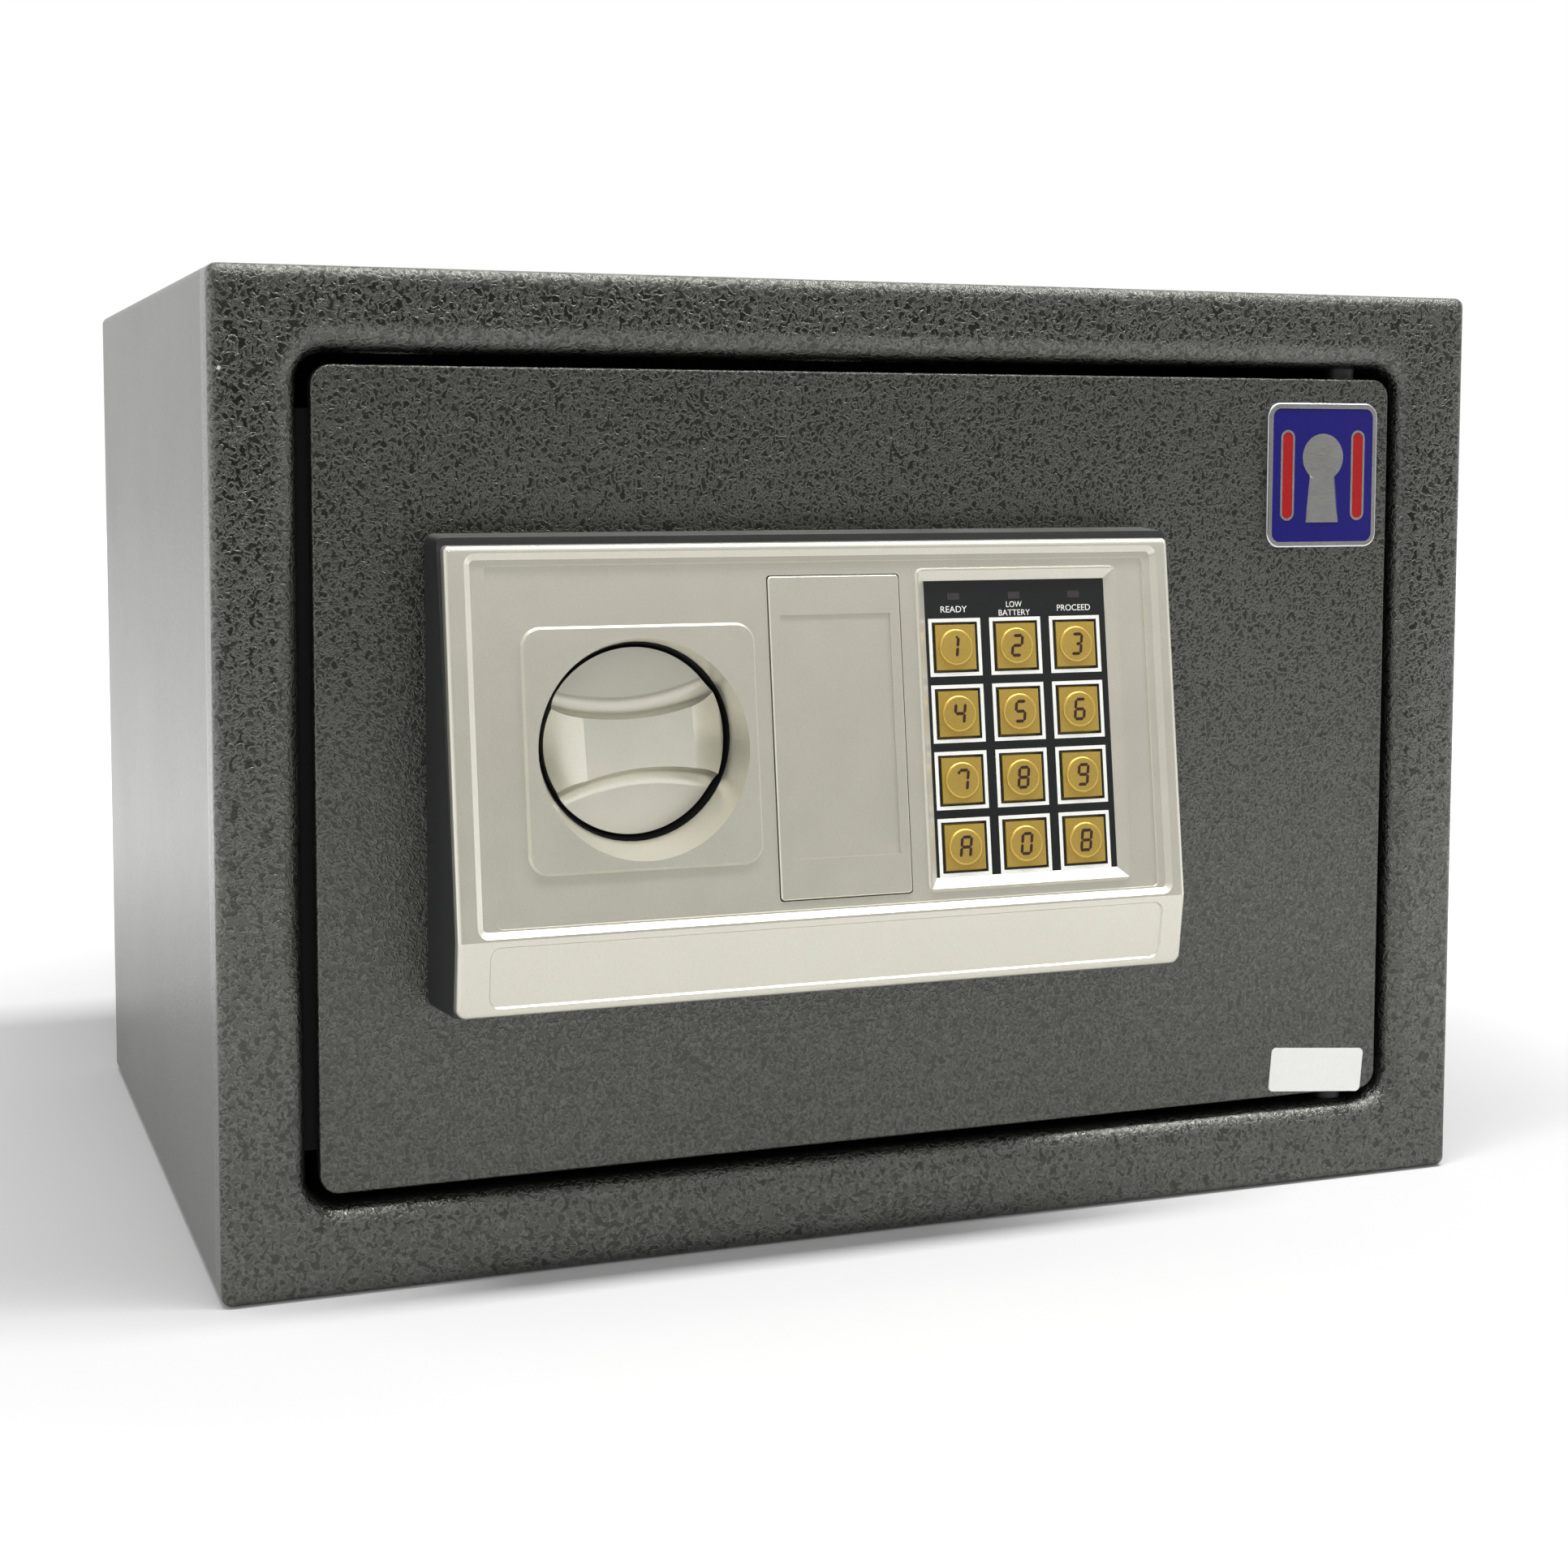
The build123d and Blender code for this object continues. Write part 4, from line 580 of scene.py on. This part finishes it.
def stroke(start, stop):
    """A pointed bar between two points of the character's box, in millimetres."""
    half = Vector(CHARACTER) / 2
    a, b = Vector(start) * half, Vector(stop) * half
    along = (b - a).normalized()
    a, b = a + along * STROKE_GAP, b - along * STROKE_GAP
    tip, side = along * STROKE / 2, along.orthogonal() * STROKE / 2
    return [a, a + tip - side, b - tip - side, b, b - tip + side, a + tip + side]


for key, (u, v) in key_middles.items():
    bars = [stroke(*STROKES[name]) for name in CHARACTERS[key].split()]
    leaning = [[(u + p.x + SLANT * p.y, v + p.y) for p in bar] for bar in bars]
    plate(
        "mark_" + key, leaning, slope, KEY_TOP, INK_THICKNESS, key_ink, "keycap_" + key
    )
print(len(CHARACTERS), "characters")

# %% [markdown]
# Small words name the three lamps. Blender's own plain font gives the letters. Each word is set
# to its measured width and height and turned into a mesh, so that it exports like any piece.

# %% Lamp words
# the word, its middle on the panel, and its width and height
WORDS = (
    ("READY", 11.2, 76.9, 7.4, 1.6), ("LOW", 28.45, 77.9, 4.5, 1.5),
    ("BATTERY", 28.45, 75.75, 9.0, 1.5), ("PROCEED", 45.7, 76.7, 9.7, 1.6),
)
WORD_THICKNESS = 0.04


def meshed(curve):
    """The mesh of a curve or a text, made through an object that is removed again."""
    pattern = bpy.data.objects.new("pattern", curve)
    mesh = bpy.data.meshes.new_from_object(pattern)
    bpy.data.objects.remove(pattern)
    return mesh


def span(values):
    """The middle and the length of the stretch that some values cover."""
    return (min(values) + max(values)) / 2, max(values) - min(values)


for word, u, v, wide, tall in WORDS:
    text = bpy.data.curves.new("text", "FONT")
    text.body, text.extrude = word, WORD_THICKNESS / 2
    mesh = meshed(text)
    middle_x, width = span([vertex.co.x for vertex in mesh.vertices])
    middle_y, height = span([vertex.co.y for vertex in mesh.vertices])
    centred = Matrix.Translation((-middle_x, -middle_y, WORD_THICKNESS / 2))
    fit = Matrix.Diagonal((wide * MM / width, tall * MM / height, MM, 1))
    mesh.transform(slope @ Matrix.Translation(Vector((u, v, -KEYPAD_DEPTH)) * MM) @ fit @ centred)
    settle("word_" + word.lower(), mesh, white_ink, "door")
print(len(WORDS), "words")

# %% [markdown]
# The badge is a silver plate with coloured enamel poured between raised lines. The part has the
# rim and a plain keyhole in relief. Enamel has no shape of its own: it fills an outline and stops
# at the metal. A flat curve does the same, and leaves open whatever lies inside it, so the field
# is one curve with holes for the keyhole and for two red bars in silver borders beside it.

# %% Badge outlines
BADGE = Vector((129, -124.8, 200.1))
BADGE_SIZE, BADGE_CORNER, BADGE_RIM = (35.3, 40.0), 4.0, 1.6
KEYHOLE_HEAD, KEYHOLE_RISE, KEYHOLE_FOOT, KEYHOLE_DROP = 6.5, 5.0, 5.2, 13.0
KEYHOLE_NECK_ANGLE, KEYHOLE_MARGIN, KEYHOLE_STEPS = 38, 0.05, 24
BAR_X, BAR_SIZE, BAR_LINE, BAR_CORNER, INNER_CORNER = 11.3, (4.4, 25.0), 0.6, 2.19, 1.58


def rounded_box(middle, size, corner, steps=6):
    """The outline of a rectangle with round corners."""
    points = []
    for quarter, (side, up) in enumerate(((1, 1), (-1, 1), (-1, -1), (1, -1))):
        x = middle[0] + side * (size[0] / 2 - corner)
        y = middle[1] + up * (size[1] / 2 - corner)
        for step in range(steps + 1):
            angle = math.pi / 2 * (quarter + step / steps)
            points.append((x + corner * math.cos(angle), y + corner * math.sin(angle)))
    return points


def keyhole(margin):
    """A round head on a flared foot, larger all round by a margin. Angles count from below."""
    head, foot, drop = KEYHOLE_HEAD + margin, KEYHOLE_FOOT + margin, KEYHOLE_DROP + margin
    neck = math.radians(KEYHOLE_NECK_ANGLE)
    turns = [neck + 2 * (math.pi - neck) * i / KEYHOLE_STEPS for i in range(KEYHOLE_STEPS + 1)]
    outline = [(head * math.sin(a), KEYHOLE_RISE - head * math.cos(a)) for a in turns]
    return outline + [(-foot, -drop), (foot, -drop)]


field = rounded_box((0, 0), inset(BADGE_SIZE, BADGE_RIM), BADGE_CORNER - BADGE_RIM)
borders = [rounded_box((x, 0), BAR_SIZE, BAR_CORNER) for x in (-BAR_X, BAR_X)]
reds = [rounded_box((x, 0), inset(BAR_SIZE, BAR_LINE), INNER_CORNER) for x in (-BAR_X, BAR_X)]
print("enamel field of", [round(length, 1) for length in inset(BADGE_SIZE, BADGE_RIM)], "mm")

# %% [markdown]
# Enamel is coloured glass, so it gets a clear coat over its colour. The field is poured lowest,
# the red bars stand a little higher, and their silver borders stand highest, as metal does once
# the enamel beside it has shrunk in the oven.

# %% Badge enamel
FIELD_SINK, FIELD_FILL, RED_FILL, BORDER_FILL = 0.4, 0.25, 0.3, 0.38
ENAMEL = {"rough": (0.12, 0.2), "size": 0.0004, "relief": 0.05, "depth": 0.00002, "mottle": 0.12}
blue_enamel = finish(
    "blue_enamel", screen(20, 18, 104), screen(28, 24, 122), Coat_Weight=0.6, **ENAMEL
)
red_enamel = finish(
    "red_enamel", screen(158, 20, 24), screen(180, 30, 32), Coat_Weight=0.6, **ENAMEL
)
upright = Matrix.Translation(BADGE * MM) @ Matrix.Rotation(math.pi / 2, 4, "X")


def poured(name, outlines, thickness, material):
    """Enamel poured on the badge's floor, inside the first outline and outside the others."""
    curve = bpy.data.curves.new(name, "CURVE")
    curve.dimensions, curve.fill_mode, curve.extrude = "2D", "BOTH", thickness / 2 * MM
    for outline in outlines:
        spline = curve.splines.new("POLY")
        spline.points.add(len(outline) - 1)
        spline.use_cyclic_u = True
        for point, (x, y) in zip(spline.points, outline):
            point.co = (x * MM, y * MM, 0, 1)
    mesh = meshed(curve)
    mesh.transform(upright @ Matrix.Translation((0, 0, (thickness / 2 - FIELD_SINK) * MM)))
    settle(name, mesh, material, "door")


poured("enamel_field", [field, keyhole(KEYHOLE_MARGIN), *borders], FIELD_FILL, blue_enamel)
for side, border, red in zip(("left", "right"), borders, reds):
    poured("badge_border_" + side, [border, red], BORDER_FILL, materials["badge_metal"])
    poured("badge_bar_" + side, [red], RED_FILL, red_enamel)
print("badge: a field, two bars and their borders")

# %% [markdown]
# A knock has taken a speck of paint off the left side of the frame. The bare spot is a small flake
# of a shape with no two sides alike, a hair proud of the paint so that it never flickers with it.

# %% Chip in the paint
CHIP, CHIP_SUNK, CHIP_THICKNESS = (-172.5, 225.4), 0.02, 0.04
CHIP_OUTLINE = ((-0.5, -0.3), (0.1, -0.55), (0.5, -0.1), (0.35, 0.4), (-0.25, 0.5))
bare_spot = finish(
    "bare_spot", screen(196, 196, 192), screen(220, 220, 216), metal=0.3, size=0.0002,
    depth=0.00003,
)
frame_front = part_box("front_frame")[0][1]
frame_plane = Matrix.Translation((0, frame_front, 0)) @ Matrix.Rotation(math.pi / 2, 4, "X")
flake = [(CHIP[0] + x, CHIP[1] + y) for x, y in CHIP_OUTLINE]
plate(
    "paint_chip", [flake], frame_plane, -CHIP_SUNK, CHIP_THICKNESS, bare_spot,
    "safe_body",
)
print("chip at", CHIP)

# %% [markdown]
# The knob turns inside a flared well, and the root of the well is painted shade: near black, so
# that the gap looks deep. The shade has a crisp edge, so a thin turned ring lines the wall there
# rather than a colour in the paint. Its section is a thin four-sided strip that follows the flare,
# turned about the knob's axis.

# %% Painted shade: a black ring at the root of the knob's well
KNOB = Vector((-73.8, -132.0, 134.65))
WELL_RADIUS, WELL_FLARE = 24.3, 0.25
# depths count from the front of the knob's disc, and skins from the wall of the well
RING_BACK, RING_FRONT, RING_SKIN, RING_FACE, TURNS = 1.6, -2.1, 0.02, 0.16, 120
section = [
    (WELL_RADIUS - WELL_FLARE * depth - skin, depth)
    for depth, skin in (
        (RING_BACK, RING_SKIN), (RING_FRONT, RING_SKIN),
        (RING_FRONT, RING_FACE), (RING_BACK, RING_FACE),
    )
]
ring = bmesh.new()
rows = []
for step in range(TURNS):
    angle = 2 * math.pi * step / TURNS
    around = [Vector((r * math.cos(angle), depth, r * math.sin(angle))) for r, depth in section]
    rows.append([ring.verts.new((KNOB + spot) * MM) for spot in around])
for i, row in enumerate(rows):
    for j in range(len(section)):
        ring.faces.new((row[j], rows[i - 1][j], rows[i - 1][j - 1], row[j - 1]))
# the ring is painted shade, a black lining where the gap round the knob falls into shadow
ring_mesh = closed_mesh("well_shade_ring", ring)
settle("well_shade_ring", ring_mesh, painted_shade_black, "door")
print("ring with", len(ring_mesh.polygons), "faces")

# %% [markdown]
# The camera stands in front of the safe, a little to the left of it and below its top, as the
# photograph was taken. Its lens and small shift come from the same fit of the box's edges.

# %% Camera
CAMERA_PLACE = (-0.2537, -0.7111, 0.2050)
CAMERA_YAW, CAMERA_PITCH, CAMERA_ROLL = -20.7, -4.49, 0.12
CAMERA_LENS, SENSOR_WIDTH, CAMERA_SHIFT, NEAREST = 56.37, 36.0, (0.0028, -0.0859), 0.01
camera = bpy.data.objects.new("camera", bpy.data.cameras.new("camera"))
bpy.context.scene.collection.objects.link(camera)
camera.data.lens, camera.data.sensor_width = CAMERA_LENS, SENSOR_WIDTH
camera.data.shift_x, camera.data.shift_y = CAMERA_SHIFT
camera.data.clip_start = NEAREST
turn = Matrix.Rotation(math.radians(CAMERA_YAW), 4, "Z")
tip = Matrix.Rotation(math.radians(90 + CAMERA_PITCH), 4, "X")
roll = Matrix.Rotation(math.radians(CAMERA_ROLL), 4, "Z")
camera.matrix_world = Matrix.Translation(CAMERA_PLACE) @ turn @ tip @ roll
bpy.context.scene.camera = camera
bpy.context.scene.view_settings.view_transform = "Standard"
print("camera at", CAMERA_PLACE)

# %% [markdown]
# A product picture has a white ground with a soft shadow. The floor is pale grey round the safe,
# where it takes the shadow, and fades to white over the next half metre. The white is a glow for
# straight, mirrored and transmitted rays alone, so it hardly lights the safe. The floor ends
# near the camera, because in the steel's reflections it would fill the room to the front.

# %% Floor
FLOOR_REACH, FLOOR_FRONT, FLOOR_LEVEL, FLOOR_GREY = 6.0, -0.85, -0.0002, 0.56
FADE_NEAR, FADE_FAR, SHADOW_GLOW = 0.24, 0.72, 0.06


def seen_by(tree, *rays):
    """A mask for the named kinds of ray, so that they see a strength that lights nothing."""
    path = add(tree, "ShaderNodeLightPath")
    mask = path.outputs[rays[0]]
    for ray in rays[1:]:
        either = add(tree, "ShaderNodeMath", operation="MAXIMUM")
        wire(tree, (mask, either.inputs[0]), (path.outputs[ray], either.inputs[1]))
        mask = either.outputs[0]
    return mask


floor_mesh = bpy.data.meshes.new("floor")
floor_mesh.from_pydata(
    [
        (-FLOOR_REACH, FLOOR_FRONT, 0), (FLOOR_REACH, FLOOR_FRONT, 0),
        (FLOOR_REACH, FLOOR_REACH, 0), (-FLOOR_REACH, FLOOR_REACH, 0),
    ],
    [], [(0, 1, 2, 3)],
)
floor = bpy.data.objects.new("floor", floor_mesh)
bpy.context.scene.collection.objects.link(floor)
floor.location.z = FLOOR_LEVEL
floor_paint = bpy.data.materials.new("floor_paint")
floor_paint.use_nodes = True
tree = floor_paint.node_tree
shader = tree.nodes["Principled BSDF"]
shader.inputs["Base Color"].default_value = (FLOOR_GREY, FLOOR_GREY, FLOOR_GREY, 1)
shader.inputs["Roughness"].default_value = 0.9
shader.inputs["Specular IOR Level"].default_value = 0.0
shader.inputs["Emission Color"].default_value = (1, 1, 1, 1)
spot = add(tree, "ShaderNodeNewGeometry")
away = add(tree, "ShaderNodeVectorMath", operation="LENGTH")
fade = add(
    tree, "ShaderNodeMapRange",
    {"From Min": FADE_NEAR, "From Max": FADE_FAR, "To Min": SHADOW_GLOW, "To Max": 1.0},
    interpolation_type="SMOOTHSTEP",
)
glow = add(tree, "ShaderNodeMath", operation="MULTIPLY")
wire(
    tree,
    (spot.outputs["Position"], away.inputs[0]),
    (away.outputs["Value"], fade.inputs["Value"]),
    (seen_by(tree, "Is Camera Ray", "Is Glossy Ray", "Is Transmission Ray"), glow.inputs[0]),
    (fade.outputs["Result"], glow.inputs[1]),
    (glow.outputs[0], shader.inputs["Emission Strength"]),
)
floor_mesh.materials.append(floor_paint)
print("the floor reaches", FLOOR_REACH, "m to the back and", -FLOOR_FRONT, "m to the front")

# %% [markdown]
# The world is the room. The camera sees it pure white, and it lights the safe softly from all
# round. Glossy paint mirrors it, and a real room is bright overhead and darker and warmer low in
# front, behind the photographer. That darker part, which only reflections see, gives the upright
# front its contrast and leaves the top and the sides bright.

# %% World
AMBIENT = 0.36
FRONT_BEGINS, FRONT_FULL, LOW_BEGINS, LOW_FULL = -0.5, -0.95, 0.42, 0.02
ROOM_STRENGTH, WHITE, ROOM_TINT = 0.05, (1, 1, 1, 1), (1, 0.93, 0.78, 1)
world = bpy.data.worlds.new("studio")
bpy.context.scene.world = world
world.use_nodes = True
tree = world.node_tree
sky = tree.nodes["Background"]
mirrored = seen_by(tree, "Is Glossy Ray")
way = add(tree, "ShaderNodeTexCoord")
parts = add(tree, "ShaderNodeSeparateXYZ")
front = add(
    tree, "ShaderNodeMapRange", {"From Min": FRONT_BEGINS, "From Max": FRONT_FULL},
    interpolation_type="SMOOTHSTEP",
)
low = add(
    tree, "ShaderNodeMapRange", {"From Min": LOW_BEGINS, "From Max": LOW_FULL},
    interpolation_type="SMOOTHSTEP",
)
low_front = add(tree, "ShaderNodeMath", operation="MULTIPLY")
reflected = add(tree, "ShaderNodeMapRange", {"To Min": 1.0, "To Max": ROOM_STRENGTH})
strength = add(tree, "ShaderNodeMix", {MIX_NUMBERS_A: AMBIENT}, data_type="FLOAT")
at_least = add(tree, "ShaderNodeMath", operation="MAXIMUM")
warm = add(tree, "ShaderNodeMath", operation="MULTIPLY")
wire(
    tree,
    (way.outputs["Generated"], parts.inputs[0]),
    (parts.outputs["Y"], front.inputs["Value"]),
    (parts.outputs["Z"], low.inputs["Value"]),
    (front.outputs["Result"], low_front.inputs[0]),
    (low.outputs["Result"], low_front.inputs[1]),
    (low_front.outputs[0], reflected.inputs["Value"]),
    (mirrored, strength.inputs[0]),
    (reflected.outputs["Result"], strength.inputs[MIX_NUMBERS_B]),
    (strength.outputs[0], at_least.inputs[0]),
    (seen_by(tree, "Is Camera Ray", "Is Transmission Ray"), at_least.inputs[1]),
    (at_least.outputs[0], sky.inputs["Strength"]),
    (low_front.outputs[0], warm.inputs[0]),
    (mirrored, warm.inputs[1]),
    (lay_over(tree, warm.outputs[0], WHITE, ROOM_TINT), sky.inputs["Color"]),
)
print("world with", len(tree.nodes), "nodes")

# %% [markdown]
# Three soft lamps shape the safe. A long strip overhead draws the bright line along the top edge
# and lights the top, a square one fills the left side, and one in front lights the panel. The one
# in front doesn't show in reflections, because it would lay a pale haze over the dark door.

# %% Lamps
def softbox(name, place, aim, size, power, in_reflections=True):
    """An area lamp of a width and height, at a place in metres, that points at its aim."""
    lamp = bpy.data.objects.new(name, bpy.data.lights.new(name, "AREA"))
    bpy.context.scene.collection.objects.link(lamp)
    lamp.data.shape = "RECTANGLE"
    lamp.data.size, lamp.data.size_y = size
    lamp.data.energy = power
    lamp.location = place
    lamp.rotation_euler = (Vector(aim) - Vector(place)).to_track_quat("-Z", "Y").to_euler()
    lamp.visible_glossy = in_reflections


softbox("lamp_over", (0.4, -0.35, 1.5), aim=(0.4, -0.05, 0.1), size=(1.9, 0.2), power=36)
softbox("lamp_side", (-1.7, 0.8, 0.75), aim=(-0.1, 0, 0.12), size=(1.5, 1.5), power=10)
softbox(
    "lamp_front", (-0.5, -1.9, 1.4), aim=(0, 0, 0.12), size=(1.3, 1.0), power=11,
    in_reflections=False,
)
print("three softboxes")
